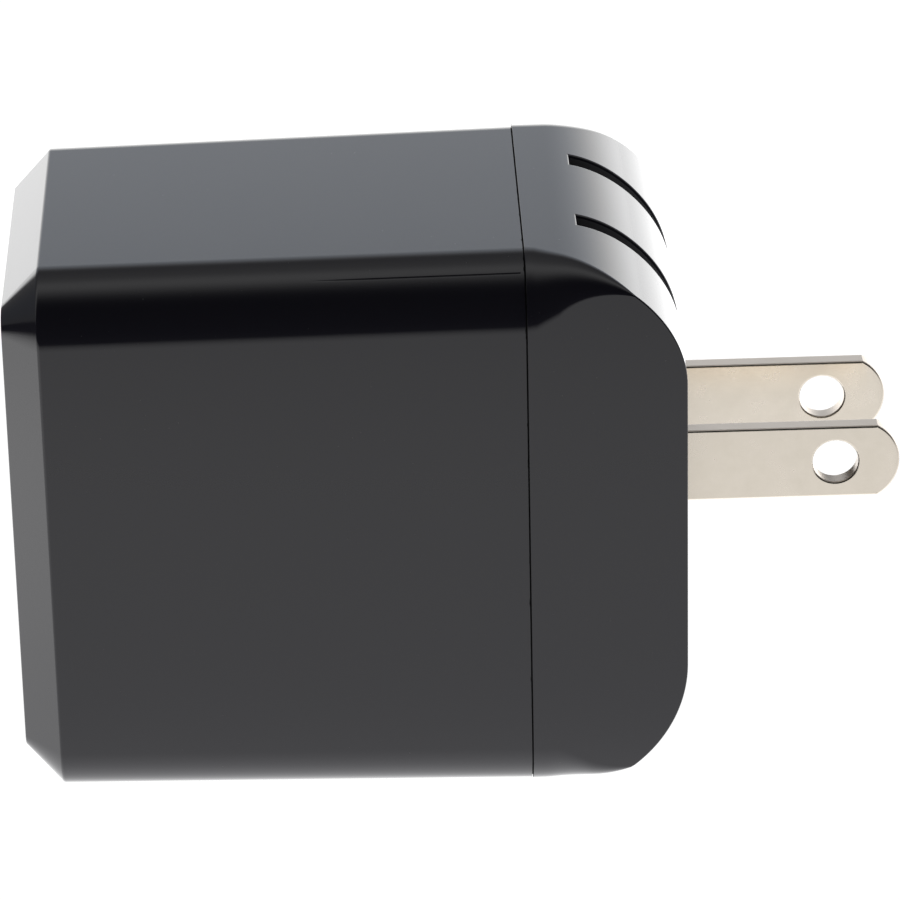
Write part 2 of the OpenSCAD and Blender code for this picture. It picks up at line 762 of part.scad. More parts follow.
// Resistor that lies on the board with its leads bent down at both ends
module fuse_resistor() {
    r = 1.25;
    color("#7fa3a8") on_board(fuse_at) {
        translate([0, 3.2, r + 0.2]) rotate([90, 0, 0]) rotate_extrude() polygon([
            [0, 0], [r - 0.3, 0], [r, 0.4], [r, 1.5], [r - 0.15, 1.9], [r - 0.15, 4.5], [r, 4.9],
            [r, 6.0], [r - 0.3, 6.4], [0, 6.4]]);
        for (s = [-1, 1]) translate([0, s * 5, r + 0.2]) rotate([s * 90, 0, 0])
            cylinder(h = 2, r = lead_r, $fn = 24);
        leads(fuse_at, pair_z(fuse_at, 10), r + 0.2);
    }
}

// Coated disc that stands on its edge
module disc(c, r, t) {
    on_board(c) {
        translate([-t / 2, 0, r + 1]) rotate([0, 90, 0]) rotate_extrude() polygon([
            [0, 0], [r - 0.7, 0], [r - 0.2, 0.3], [r, t / 2], [r - 0.2, t - 0.3], [r - 0.7, t], [0, t]]);
        leads(c, pair_z(c, 5), r - 1);
    }
}

module surge_disc() {
    color("#c98a2b") disc(disc_at, 3.6, 2.2);
}

module safety_capacitor() {
    color("#2f63a8") disc(safety_at, 3.6, 2.4);
}

module filter_inductor() {
    r = 2.35;
    color("#5a4636") on_board(filter_at) {
        rotate_extrude() polygon([[0, 0], [r, 0], [r, 1], [r - 0.3, 1.1], [r - 0.3, 6.9], [r, 7], [r, 8], [0, 8]]);
        leads(filter_at, pair_x(filter_at, 2));
    }
}

module output_inductor() {
    r = 2.3;
    color("#8a4a2a") on_board(coil_at) {
        translate([-4.2, 0, r + 0.2]) rotate([0, 90, 0]) rotate_extrude() polygon([
            [0, 0], [r - 0.5, 0], [r - 0.5, 0.6], [r, 0.7], [r, 7.7], [r - 0.5, 7.8], [r - 0.5, 8.4], [0, 8.4]]);
        for (s = [-1, 1]) translate([s * 5, 0, r + 0.2]) rotate([0, -s * 90, 0])
            cylinder(h = 1, r = lead_r, $fn = 24);
        leads(coil_at, pair_x(coil_at, 10), r + 0.2);
    }
}

// Three-leg power package that stands against the heat plate
module output_rectifier() {
    color(black_col) on_board(rectifier_at) {
        translate([-1.6, -5, 3.2]) cube([3.2, 10, 12]);
        leads(rectifier_at, rectifier_pins, 3.3);
    }
}

module heat_plate() {
    x1 = rectifier_at.x - 1.6;
    color("#c9ccd0") union() {
        block([x1 - 0.8, -8, rectifier_at.y - 8], [x1, board_y, rectifier_at.y + 8]);
        block([x1 - 0.8, -8.8, rectifier_at.y - 8], [x1 + 6, -8, rectifier_at.y + 8]);
    }
}

// Small chip body with gull legs on two sides, pitch along Z
module chip(w, l, h, legs, pitch) {
    translate([-w / 2, -l / 2, 0.1]) cube([w, l, h]);
    for (s = [-1, 1], i = [0:legs - 1])
        translate([s * (w / 2 + 0.45) - 0.45, (i - (legs - 1) / 2) * pitch - 0.2, 0]) {
            cube([0.9, 0.4, 0.15]);
            translate([s > 0 ? 0 : 0.7, 0, 0]) cube([0.2, 0.4, h / 2]);
        }
}

module bridge_rectifier() {
    color(black_col) under_board([-22, -8]) chip(4, 4.8, 2.2, 2, 2.5);
}

module power_transistor() {
    color(black_col) under_board([-32, -8.2]) {
        translate([-3, -3.3, 0.5]) cube([6, 6.6, 1.8]);
        translate([-2.6, -2.7, 0]) cube([5.2, 5.4, 0.5]);
        for (s = [-1, 1]) translate([s * 2.2 - 0.35, -5.6, 0]) cube([0.7, 2.4, 0.5]);
    }
}

module optocoupler() {
    color(black_col) under_board([-42.5, 2]) chip(4.5, 4.6, 2.1, 2, 2.54);
}

module control_chip() {
    color(black_col) under_board([-29.5, 0.6]) chip(3.9, 4.9, 1.5, 4, 1.27);
}

// Rows of chip parts on the solder side: a body with two end caps
module chip_row(origin, count, size, step) {
    for (i = [0:count - 1]) under_board(origin + i * step) translate([-size.x / 2, -size.y / 2, 0])
        cube(size);
}

module chip_resistors() {
    color("#2c2c30") {
        chip_row([-48, -14], 6, [2, 1.25, 0.5], [0, 3]);
        chip_row([-25, 12], 4, [1.25, 2, 0.5], [-2.5, 0]);
    }
}

module chip_capacitors() {
    color("#b08f6a") {
        chip_row([-44, -14], 3, [2, 1.25, 1.2], [0, 3]);
        chip_row([-36, 8], 4, [1.25, 2, 1.2], [-2.4, 0]);
    }
}

module insulation_sheet() {
    color("#e3d27a") block([-49.5, cav_y - 0.35, cav_bottom + 4], [-17.5, cav_y - 0.05, cav_top - 4]);
}

// ---------- assembly ----------

main_housing();
rear_cover();
blade_left();
blade_right();
blade_carrier();
carrier_retainer();
retainer_screws();
detent_spring();
contact_spring_left();
contact_spring_right();
lead_wire_left();
lead_wire_right();
main_board();
usb_board();
board_link_pins();
usb_shell_upper();
usb_shell_lower();
usb_tongue_upper();
usb_tongue_lower();
usb_contacts_upper();
usb_contacts_lower();
transformer_core();
transformer_bobbin();
transformer_windings();
transformer_tape();
bulk_capacitor_1();
bulk_capacitor_2();
output_capacitor_1();
output_capacitor_2();
output_capacitor_3();
fuse_resistor();
surge_disc();
safety_capacitor();
filter_inductor();
output_inductor();
bridge_rectifier();
power_transistor();
output_rectifier();
heat_plate();
optocoupler();
control_chip();
chip_resistors();
chip_capacitors();
insulation_sheet();
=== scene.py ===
# %% [markdown]
# # A USB wall charger with folding blades
#
# The charger is a glossy black plastic box that plugs straight into an outlet. Two nickel plated
# blades stand out of a rounded plug end, and two slots let them fold up against it. This lesson
# dresses the engineered model: the case and the blades, which carry the looks, are made again as
# fine surfaces, and the parts inside keep their shape and get finishes of their own.
#
# The frame comes first. It brings in every part at its true place and size, so that nothing here
# has to be fitted by eye.

# %% The frame
import json
import bpy
import numpy as np
from mathutils import Matrix, Vector
from mathutils.geometry import tessellate_polygon


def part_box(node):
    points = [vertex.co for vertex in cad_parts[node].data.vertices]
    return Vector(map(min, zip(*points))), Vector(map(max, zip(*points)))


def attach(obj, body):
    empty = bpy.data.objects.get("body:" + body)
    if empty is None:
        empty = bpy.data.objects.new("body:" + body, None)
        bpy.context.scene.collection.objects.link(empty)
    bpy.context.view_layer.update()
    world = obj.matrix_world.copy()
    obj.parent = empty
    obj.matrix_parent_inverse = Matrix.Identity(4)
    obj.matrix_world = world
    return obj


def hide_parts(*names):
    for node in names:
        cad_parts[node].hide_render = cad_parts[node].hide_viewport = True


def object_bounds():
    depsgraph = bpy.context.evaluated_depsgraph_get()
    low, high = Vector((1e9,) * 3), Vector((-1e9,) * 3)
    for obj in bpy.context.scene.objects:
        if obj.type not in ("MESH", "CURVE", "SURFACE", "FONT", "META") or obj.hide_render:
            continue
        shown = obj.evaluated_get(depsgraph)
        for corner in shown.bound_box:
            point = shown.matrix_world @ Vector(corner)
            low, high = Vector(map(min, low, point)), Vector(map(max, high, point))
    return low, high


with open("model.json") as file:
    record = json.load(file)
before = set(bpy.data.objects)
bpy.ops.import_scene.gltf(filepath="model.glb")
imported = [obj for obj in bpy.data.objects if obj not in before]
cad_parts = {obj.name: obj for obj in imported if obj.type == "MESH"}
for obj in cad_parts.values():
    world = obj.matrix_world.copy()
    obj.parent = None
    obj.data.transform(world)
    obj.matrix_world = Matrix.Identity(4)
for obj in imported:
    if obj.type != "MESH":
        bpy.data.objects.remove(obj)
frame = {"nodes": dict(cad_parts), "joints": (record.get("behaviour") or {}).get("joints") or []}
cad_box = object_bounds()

np.set_printoptions(precision=3, suppress=True)

# %% [markdown]
# ## Sizes
#
# Lengths are worked out in millimetres, as on a drawing, and turned into metres when a mesh is
# made. The ends of the case, the seam, the blades and the folding axis are read off the parts
# themselves. Radii and edge breaks are the maker's choices.

# %% Sizes, in millimetres
def corners(node):
    """Lowest and highest corner of a part, in millimetres."""
    low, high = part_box(node)
    return np.array(low) * 1000, np.array(high) * 1000


house_lo, house_hi = corners("main_housing")
cover_lo, cover_hi = corners("rear_cover")
blade_lo, blade_hi = corners("blade_left")
port_x, seam_x = house_lo[0], house_hi[0]          # the two ends of the main housing
rim_x = -12.75                                     # the cover's side of the seam
half = house_hi[1]                                 # half width of the housing at the seam
top, bottom = house_hi[2], house_lo[2]
pivot_x = frame["joints"][0]["pos_m"][0] * 1000    # the blades' folding axis
blade_y = (blade_lo[1] + blade_hi[1]) / 2          # middle of the near blade's thickness
edge_r = {"near_top": 5.25, "far_top": 4.1, "bottom": 4.5}     # the long edges
print("housing from", house_lo, "to", house_hi)
print("cover from", cover_lo, "to", cover_hi)
print("blade from", blade_lo, "to", blade_hi, "folds about x", pivot_x)

# %% [markdown]
# ## A skin made of patches
#
# A moulded case is a few large, nearly flat faces joined by round edges. Each stretch is a
# formula in two parameters, so it is a grid of points, and the formula also gives the exact
# direction that the surface faces. `Skin` collects such patches, welds the points that patches
# share, and hands every corner of every face its own patch's direction. Round edges then shade
# smoothly into flats without a band, however coarse the grid is, which matters on black gloss.

# %% The skin
class Skin:
    """Patches of surface, welded into one mesh when it is made. Points weld when they fall in the
    same cell of a fine grid, which is shifted so that round sizes stay off the cells' borders."""

    cells_per_mm = 1e4
    cell_shift = 0.137

    def __init__(self):
        self.points, self.normals, self.faces, self.total = [], [], [], 0

    def add(self, points, normals, faces):
        """Keeps a patch, and turns each face so that it looks along its points' normals: the
        product of its diagonals, or of two sides of a triangle, must point their way."""
        points, normals = points.reshape(-1, 3), normals.reshape(-1, 3)
        a, b, c = (points[faces[:, k]] for k in (0, 1, 2))
        d = points[faces[:, -1]]
        facing = np.cross(c - a, d - b) if faces.shape[1] == 4 else np.cross(b - a, c - a)
        away = (facing * normals[faces].sum(1)).sum(1) < 0
        faces = np.where(away[:, None], faces[:, ::-1], faces)
        self.points.append(points)
        self.normals.append(normals)
        self.faces.append(faces + self.total)
        self.total += len(points)

    def grid(self, points, normals, closed=False, skip=None):
        """A patch of rows and columns. Closed joins the last column to the first, and skip is a
        mask of the cells that are left out."""
        at = np.arange(points.shape[0] * points.shape[1]).reshape(points.shape[:2])
        if closed:
            at = np.concatenate([at, at[:, :1]], axis=1)
        cells = np.stack([at[:-1, :-1], at[1:, :-1], at[1:, 1:], at[:-1, 1:]], -1)
        cells = cells.reshape(-1, 4) if skip is None else cells[~skip]
        self.add(points, np.broadcast_to(normals, points.shape), cells)

    def flat(self, loops, normal):
        """A flat sheet inside the first loop of points, with the other loops as its holes, cut
        into triangles between the points that are there."""
        points = np.concatenate(loops)
        faces = tessellate_polygon([[Vector(p) for p in loop] for loop in loops])
        self.add(points, np.broadcast_to(np.array(normal, float), points.shape), np.array(faces))

    def mesh(self, name):
        """Welds equal points, drops empty faces and makes the object, in metres."""
        points = np.concatenate(self.points)
        normals = np.concatenate(self.normals)
        normals = normals / np.linalg.norm(normals, axis=1, keepdims=True)
        cell = np.round(points * self.cells_per_mm + self.cell_shift).astype(np.int64)
        _, first, same = np.unique(cell, axis=0, return_index=True, return_inverse=True)
        same = same.reshape(-1)
        polygons, corner_normals = [], []
        for faces in self.faces:
            welded = same[faces]
            empty = welded == np.roll(welded, -1, axis=1)
            whole = ~empty.any(1)
            polygons += welded[whole].tolist()
            corner_normals.append(normals[faces[whole]].reshape(-1, 3))
            if faces.shape[1] == 4:
                three = empty.sum(1) == 1
                keep = ~empty[three]
                polygons += welded[three][keep].reshape(-1, 3).tolist()
                corner_normals.append(normals[faces[three][keep]].reshape(-1, 3))
        mesh = bpy.data.meshes.new(name)
        mesh.from_pydata((points[first] / 1000).tolist(), [], polygons)
        mesh.polygons.foreach_set("use_smooth", [True] * len(mesh.polygons))
        mesh.normals_split_custom_set(np.concatenate(corner_normals).tolist())
        piece = bpy.data.objects.new(name, mesh)
        bpy.context.scene.collection.objects.link(piece)
        open_edges = 2 * len(mesh.edges) - len(mesh.loops)
        print(name, "faces", len(mesh.polygons), "open edges", open_edges)
        return piece

# %% [markdown]
# ## Bent lines with round corners
#
# Nearly every outline on the charger is straight stretches joined by arcs: the side view of an
# edge, the outline of a blade, the lip at the seam. One function rounds the corners of a bent
# line and gives each point's direction with it.

# %% Round corners
def turned(v):
    """A direction turned a quarter turn to the right."""
    return np.stack([v[..., 1], -v[..., 0]], -1)


def rounded(points, radii, steps=6, closed=False):
    """A bent line in the plane whose corners are arcs. Each corner's arc touches both straight
    stretches at radius times the tangent of half the turn from the corner, and its centre is the
    radius away from them. Returns the points and, for each, the direction to its right."""
    points = np.array(points, float)
    line, normal = [], []
    count = len(points)
    for i in range(count):
        if not closed and i in (0, count - 1):
            ahead = points[1] - points[0] if i == 0 else points[-1] - points[-2]
            line.append(points[i][None])
            normal.append(turned(ahead / np.linalg.norm(ahead))[None])
            continue
        u = points[i] - points[i - 1]
        v = points[(i + 1) % count] - points[i]
        u, v = u / np.linalg.norm(u), v / np.linalg.norm(v)
        turn = np.arctan2(u[0] * v[1] - u[1] * v[0], u @ v)
        straight = abs(turn) < 1e-6
        if straight or radii[i] == 0:
            line.append(points[i][None])
            normal.append(turned(u)[None])
            continue
        start = points[i] - u * radii[i] * np.tan(abs(turn) / 2)
        side = np.sign(turn)
        centre = start - turned(u) * radii[i] * side
        a = turn * np.linspace(0, 1, steps + 1)[:, None]
        spoke = turned(u) * np.cos(a) + u * np.sin(a)
        line.append(centre + spoke * radii[i] * side)
        normal.append(spoke)
    return np.concatenate(line), np.concatenate(normal)


def sweep(loop, normals, profile, profile_normals, axis):
    """Carries a profile round a loop. A profile point is a place along the axis and a height
    above the loop, and the height is measured along the loop's own normals."""
    axis = np.array(axis, float)
    flat = loop - (loop @ axis)[:, None] * axis
    place, height = profile[:, 0, None, None], profile[:, 1, None, None]
    place_n, height_n = profile_normals[:, 0, None, None], profile_normals[:, 1, None, None]
    points = flat[None] + height * normals[None] + place * axis
    return points, height_n * normals[None] + place_n * axis


corner, _ = rounded([(0, 0), (1, 0), (1, 1)], [0, 0.5, 0])
print("a corner of radius 0.5 has", len(corner), "points, from", corner[1], "to", corner[-2])

# %% [markdown]
# ## The main housing
#
# The housing is a tube of rectangular section with generous round corners. Its walls lean in by
# less than a degree towards the port end, so that it slides off its mould, and a bevel closes it
# round the port face. All of it is one section carried along the length: the section is four
# corner centres plus a radius, so stepping the radius in makes the bevel, its conical corners and
# the wall's inner side at once. A hair-fine mould line runs along the top edge on one side.

# %% Section of the housing
draft_z, draft_y = np.tan(np.radians(0.87)), np.tan(np.radians(0.67))
quarter = np.radians(np.linspace(0, 90, 25))
mould_line = np.radians(34.7)                      # from the top face, on the near top edge
mould_w, mould_deep = np.radians(0.55), 0.035      # the groove's half width and depth
mould_start, mould_full = -30, -25                 # it fades in between these places
mould_stop, mould_fade = seam_x - 0.25, 0.1        # and out again before the seam
fine = mould_line + mould_w * np.array([-2.5, -1.6, -1, -0.6, -0.3, 0, 0.3, 0.6, 1, 1.6, 2.5])
coarse = quarter[np.abs(quarter - mould_line) > mould_w * 3]
near_top = np.unique(np.concatenate([coarse, fine]))
corner_angles = [quarter, near_top + np.pi / 2, quarter + np.pi, quarter + 1.5 * np.pi]


def of_corners(values):
    """One value for each of the four corners, repeated for all of that corner's angles."""
    return np.concatenate([np.full(len(a), v) for a, v in zip(corner_angles, values)])


angle = np.concatenate(corner_angles)
sign_y, sign_z = of_corners([1, -1, -1, 1]), of_corners([1, 1, -1, -1])
radius = of_corners([edge_r[name] for name in ("far_top", "near_top", "bottom", "bottom")])
around = np.stack([np.zeros_like(angle), np.cos(angle), np.sin(angle)], -1)
print("section points", len(angle), "groove across", round(2 * mould_w * edge_r["near_top"], 3))


def housing(profile, profile_normals):
    """Corner centre plus radius and height along the section's own directions, at each place
    along the length. The centres lean in with the draft. The mould line is a tiny bell-shaped
    groove in the radius, and its slope turns the normals."""
    x, height = profile[:, 0, None], profile[:, 1, None]
    back = np.maximum(0, seam_x - x)
    centre_y = sign_y * (half - back * draft_y - radius)
    centre_z = np.where(sign_z > 0, top - back * draft_z - radius, bottom + back * draft_z + radius)
    off = (angle - np.pi / 2 - mould_line) / mould_w
    seen = np.clip((x - mould_start) / (mould_full - mould_start), 0, 1)
    seen = seen * np.clip((mould_stop - x) / mould_fade, 0, 1)
    on_outside = height > -0.01
    groove = -mould_deep * np.exp(-off ** 2) * seen * on_outside
    slope = groove * -2 * off / mould_w / radius
    r = radius + height + groove
    points = np.stack([x + 0 * angle, centre_y + r * around[:, 1], centre_z + r * around[:, 2]], -1)
    along = np.stack([0 * angle, -np.sin(angle), np.cos(angle)], -1)
    lean = -(np.abs(around[:, 1]) * draft_y + np.abs(around[:, 2]) * draft_z)
    length_way = np.array([1, 0, 0])
    side = around + length_way * lean[:, None]
    place_n, height_n = profile_normals[:, 0, None, None], profile_normals[:, 1, None, None]
    return points, height_n * side + place_n * length_way - slope[..., None] * along

# %% [markdown]
# ## Two windows and the housing's mesh
#
# The port face has a window for each receptacle. Cutting boxes out of a finished mesh would leave
# long thin faces that spoil the gloss, so each window is an outline of its own. Its rim is rolled
# over by a small radius and carried through the wall, and the flat sheets on the two sides of the
# wall are made with the windows as their holes.

# %% Windows in the port face
port_boxes = [corners("usb_shell_upper"), corners("usb_shell_lower")]
window_gap, window_r, window_edge = 0.1, 0.5, 0.15


def window(lo, hi, grow, r, steps=6):
    """Outline of a rectangle with round corners, larger by grow than a receptacle's box, and the
    directions into it."""
    y0, y1, z0, z1 = lo[1] - grow, hi[1] + grow, lo[2] - grow, hi[2] + grow
    line, normal = rounded([(y0, z0), (y1, z0), (y1, z1), (y0, z1)], [r] * 4, steps, closed=True)
    zero = np.zeros(len(line))
    return np.column_stack([zero, line]), -np.column_stack([zero, normal])


for lo, hi in port_boxes:
    print("window", (hi - lo)[1:] + 2 * window_gap, "centre", ((lo + hi) / 2)[1:])

# %% Housing mesh
side_wall, port_wall = 2.15, 2.0
bevel_len, bevel_in = 3.1, 3.3
bevel_x = port_x + bevel_len
thick_x, thick_wall = bevel_x + 1.2, 3.9           # the wall is thicker behind the bevel
stops = (-13.12, -13.24, -14, -16, -20, -24, -25, -26, -27.5, -29, -30, -34, -42)
rows = [(port_x + port_wall, -thick_wall), (thick_x, -thick_wall), (thick_x, -side_wall)]
rows += [(seam_x, -side_wall), (seam_x, 0)]
rows += [(x, 0) for x in stops]
rows += [(bevel_x, 0), (port_x, -bevel_in), (port_x, -bevel_in - 0.4)]
radii = [0, 0.1, 0.1, 0.1, 0.02] + [0] * len(stops) + [0.38, 0.3, 0]
profile, profile_n = rounded(rows, radii, 6)
skin = Skin()
points, normals = housing(profile, profile_n)
skin.grid(points, normals, closed=True)
outer_windows, inner_windows = [], []
for lo, hi in port_boxes:
    loop, inward = window(lo, hi, window_gap, window_r)
    bent = [(port_x, -0.35), (port_x, 0), (port_x + port_wall, 0)]
    rim, rim_n = rounded(bent, [0, window_edge, 0], 4)
    through, through_n = sweep(loop, inward, rim[1:], rim_n[1:], (1, 0, 0))
    skin.grid(through, through_n, closed=True)
    outer_windows.append(through[0])
    inner_windows.append(through[-1])
skin.flat([points[-1]] + outer_windows, (-1, 0, 0))
skin.flat([points[0]] + inner_windows, (1, 0, 0))
main_housing = skin.mesh("housing_shell")
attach(main_housing, "charger")
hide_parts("main_housing")

# %% [markdown]
# ## The plug-side cover
#
# Seen from the side the cover is a line that runs over the top, round a wide corner, down the
# plug face, and round a wider corner to the bottom. The skin follows that line by its length.
# Across it, the middle is straight, and each side turns down by a round edge whose radius
# shrinks to almost nothing along the wide corners, as on the real one. A bevel modifier keeps one
# radius along an edge, so the radius is a formula here. The blade slots are cells left out of the
# grid. Inside, the same skin a wall's thickness further in makes a hollow.

# %% The cover's side line
proud = cover_hi[1]                                # half width of the cover
plug_top, plug_bottom = cover_hi[2], bottom        # it stands proud of the housing, but not below
top_r, bottom_r, top_sag = 10.2, 12.0, 0.24
sharp_r = 0.12                                     # what is left of the side edges' radii
fades = {"near_top": (-12.4, -4.2, 0.05),          # where each shrinks from and to, along X, and
         "far_top": (-9.5, -1.5, 0.4),             # the share of that length that eases it in
         "bottom": (-11.0, -4.6, 0.49)}
face_len = plug_top - top_r - plug_bottom - bottom_r
reach = np.cumsum([0, -top_r - rim_x, top_r * np.pi / 2, face_len, bottom_r * np.pi / 2, -bottom_r - rim_x])
print("side line: the stretches end at", np.round(reach[1:], 2))


def side_line(s, inset=0.0):
    """Place and outward direction in X and Z at length s along the side line: straight, quarter
    circle, straight, quarter circle, straight. The top corner sags in from its circle by sag
    times sin(2a) squared, which tilts its direction by 2 sag sin(4a) over the radius. Inset moves
    the line in along its own direction."""
    s = np.asarray(s, float)
    a1 = np.clip((s - reach[1]) / top_r, 0, np.pi / 2)
    a2 = np.clip((s - reach[3]) / bottom_r, 0, np.pi / 2)
    m = np.stack([np.sin(a1 + a2), np.cos(a1 + a2)], -1)
    stretch = [s < end for end in reach[1:5]]
    x = np.select(stretch, [rim_x + s, -top_r + top_r * np.sin(a1), 0 * s, -bottom_r + bottom_r * np.cos(a2)],
                  -bottom_r - (s - reach[4]))
    top_z = [plug_top + 0 * s, plug_top - top_r + top_r * np.cos(a1)]
    face_z = [plug_top - top_r - (s - reach[2]), plug_bottom + bottom_r - bottom_r * np.sin(a2)]
    z = np.select(stretch, top_z + face_z, plug_bottom + 0 * s)
    place = np.stack([x, z], -1) - top_sag * np.sin(2 * a1)[..., None] ** 2 * m
    m = m + 2 * top_sag * np.sin(4 * a1)[..., None] / top_r * turned(m)
    m = m / np.linalg.norm(m, axis=-1, keepdims=True)
    return place - inset * m, m


def bend(s):
    """One over the side line's radius at s, which is nothing on its straight stretches."""
    top_corner = np.where((s > reach[1]) & (s < reach[2]), 1 / top_r, 0)
    return top_corner + np.where((s > reach[3]) & (s < reach[4]), 1 / bottom_r, 0)


def side_radius(s, edge):
    """Radius of a side edge at s. Along its fade the share that is gone grows with the square of
    the way, as far as the ease, and evenly after that."""
    def shrunk(name):
        start, stop, ease = fades[name]
        t = np.clip((side_line(s)[0][..., 0] - start) / (stop - start), 0, 1)
        share = np.where(t < ease, t * t / (2 * ease), t - ease / 2) / (1 - ease / 2)
        return edge_r[name] + (sharp_r - edge_r[name]) * share
    return np.where(s < reach[3], shrunk(edge), shrunk("bottom"))


def at_top(x):
    """Length along the side line where the top corner reaches x."""
    return reach[1] + top_r * np.arcsin((x + top_r) / top_r)


def at_face(z):
    """Length along the side line where the plug face reaches z."""
    return reach[2] + plug_top - top_r - z

# %% Where the grid's lines run
slot_half, slot_back, slot_low, rim_r = 0.94, -8.2, -3.425, 0.25     # a slot, and its rolled rim
wall, pocket, pocket_low, pocket_back = 1.8, 1.0, 3.6, -9.2          # inside, and round a slot
seam_break = 0.1                                                     # broken edge at the seam
s_start, s_end = seam_break, reach[5] - seam_break
s_slot, s_slot_end = at_top(slot_back), at_face(slot_low)
s_pocket = reach[1] + top_r * np.arcsin((pocket_back + top_r) / (top_r - wall))
s_hollow = -bottom_r - rim_x
slot_lines = [s_slot - rim_r, s_slot, s_pocket, at_face(pocket_low), s_slot_end, s_slot_end + rim_r]
arcs = [np.linspace(reach[1], reach[2], 49), np.linspace(reach[3], reach[4], 49)]
near_seam = [s_start, s_hollow, 1.3, 1.9]
stations = np.concatenate([near_seam, *arcs, slot_lines, [s_end]])
stations = np.unique(np.round(stations, 6))
widths = np.array([slot_half + rim_r, slot_half, slot_half + pocket])
across = np.concatenate([[0.0], *(y0 + k * widths for y0 in (blade_y, -blade_y) for k in (-1, 1))])
fixed = np.unique(np.round(across, 6))
psi = np.radians(np.linspace(90, 0, 19))           # round a side edge, from the side to the belt
near = 1e-4                                        # lines closer than this are one line
print("stations along", len(stations), "lines across the belt", len(fixed))

# %% The cover's skin
inner_r = 0.3                                      # least radius inside


def in_plane(v):
    """Directions or places in X and Z as rows in space, ready to spread across the cover."""
    return np.stack([v[..., 0], 0 * v[..., 0], v[..., 1]], -1)


def cover_skin(s, inset):
    """Each row is one cross-section: side edge, belt, side edge. A point of an edge is its centre
    plus the radius times a direction that turns from the side to the belt. Where the radius
    shrinks along the line, the direction leans along the line by the shrink rate times
    (cos + sin - 1) over how much the line is stretched at that depth."""
    q, m = side_line(s, inset)
    w = proud - inset
    m3, t3, q3 = in_plane(m)[:, None], in_plane(turned(m))[:, None], in_plane(q)[:, None]
    y3 = np.array([0, 1.0, 0])
    nudge = 0.001
    patches, facing, straight = [], [], []
    for edge, side, a in (("near_top", -1, psi), ("far_top", 1, psi[::-1])):
        r0 = side_radius(s, edge)
        if inset:                                  # the hollow starts on the lip's own section
            r0 = np.where((s < s_hollow + 1e-3), edge_r[edge], r0)
        rate = (side_radius(s + nudge, edge) - side_radius(s - nudge, edge)) / (2 * nudge)
        r = np.maximum(r0 - inset, inner_r if inset else 0)
        straight.append(w - r)
        c, d = np.cos(a)[None, :, None], np.sin(a)[None, :, None]
        rr = r[:, None, None]
        spoke = c * m3 + d * y3 * side
        patches.append(q3 - rr * m3 + side * (w - rr) * y3 + rr * spoke)
        stretch = 1 - bend(s)[:, None, None] * (rr * (1 - c) + inset)
        lean = rate[:, None, None] * (c + d - 1) / stretch
        facing.append(spoke + lean * t3)
    left = np.stack([-straight[0], (-straight[0] + fixed[0]) / 2], -1)
    right = np.stack([(straight[1] + fixed[-1]) / 2, straight[1]], -1)
    y = np.concatenate([left, np.broadcast_to(fixed, (len(s), len(fixed))), right], axis=1)
    belt = q3 + y[..., None] * y3
    points = np.concatenate([patches[0], belt[:, 1:-1], patches[1]], axis=1)
    normals = np.concatenate([facing[0], np.broadcast_to(m3, belt[:, 1:-1].shape), facing[1]], axis=1)
    return points, normals


def cells(s, s0, s1, points, y0, y1):
    """Mask of the grid's cells between lengths s0 and s1 and between y0 and y1."""
    y = points[len(s) // 2, :, 1]
    rows_in = (s[:-1] > s0 - near) & (s[1:] < s1 + near)
    cols_in = (y[:-1] > y0 - near) & (y[1:] < y1 + near)
    return rows_in[:, None] & cols_in[None]

# %% Outside and inside of the cover
skin = Skin()
outer, outer_n = cover_skin(stations, 0.0)
hole = np.zeros((outer.shape[0] - 1, outer.shape[1] - 1), bool)
wide = slot_half + rim_r
for y0 in (blade_y, -blade_y):
    hole |= cells(stations, s_slot - rim_r, s_slot_end + rim_r, outer, y0 - wide, y0 + wide)
skin.grid(outer, outer_n, skip=hole)
print("outside: rows and columns", outer.shape[:2], "cells left out for the slots", hole.sum())
inner_s = stations[(stations > s_hollow - near) & (stations < reach[5] - s_hollow + near)]
inner, inner_n = cover_skin(inner_s, wall)
hole = np.zeros((inner.shape[0] - 1, inner.shape[1] - 1), bool)
wide = slot_half + pocket
for y0 in (blade_y, -blade_y):
    hole |= cells(inner_s, s_pocket, at_face(pocket_low), inner, y0 - wide, y0 + wide)
    hole |= cells(inner_s, at_face(pocket_low), s_slot_end, inner, y0 - slot_half, y0 + slot_half)
skin.grid(inner, -inner_n, skip=hole)
print("hollow: rows and columns", inner.shape[:2], "cells left out for the pockets", hole.sum())
for k, side in ((0, -1.0), (-1, 1.0)):
    skin.flat([outer[:, k]], (0, side, 0))
    skin.flat([inner[:, k]], (0, -side, 0))

# %% [markdown]
# ## The seam
#
# The two halves of the case meet at a seam. Painting a dark line would do from one side only, so
# the seam has its real depth: the cover's sharp edge, a shallow gap behind it, the face that meets
# the housing, and the lip that enters it. It is one bent line, carried round the cover's first
# cross-section, a stretch at a time so that its corners stay crisp.

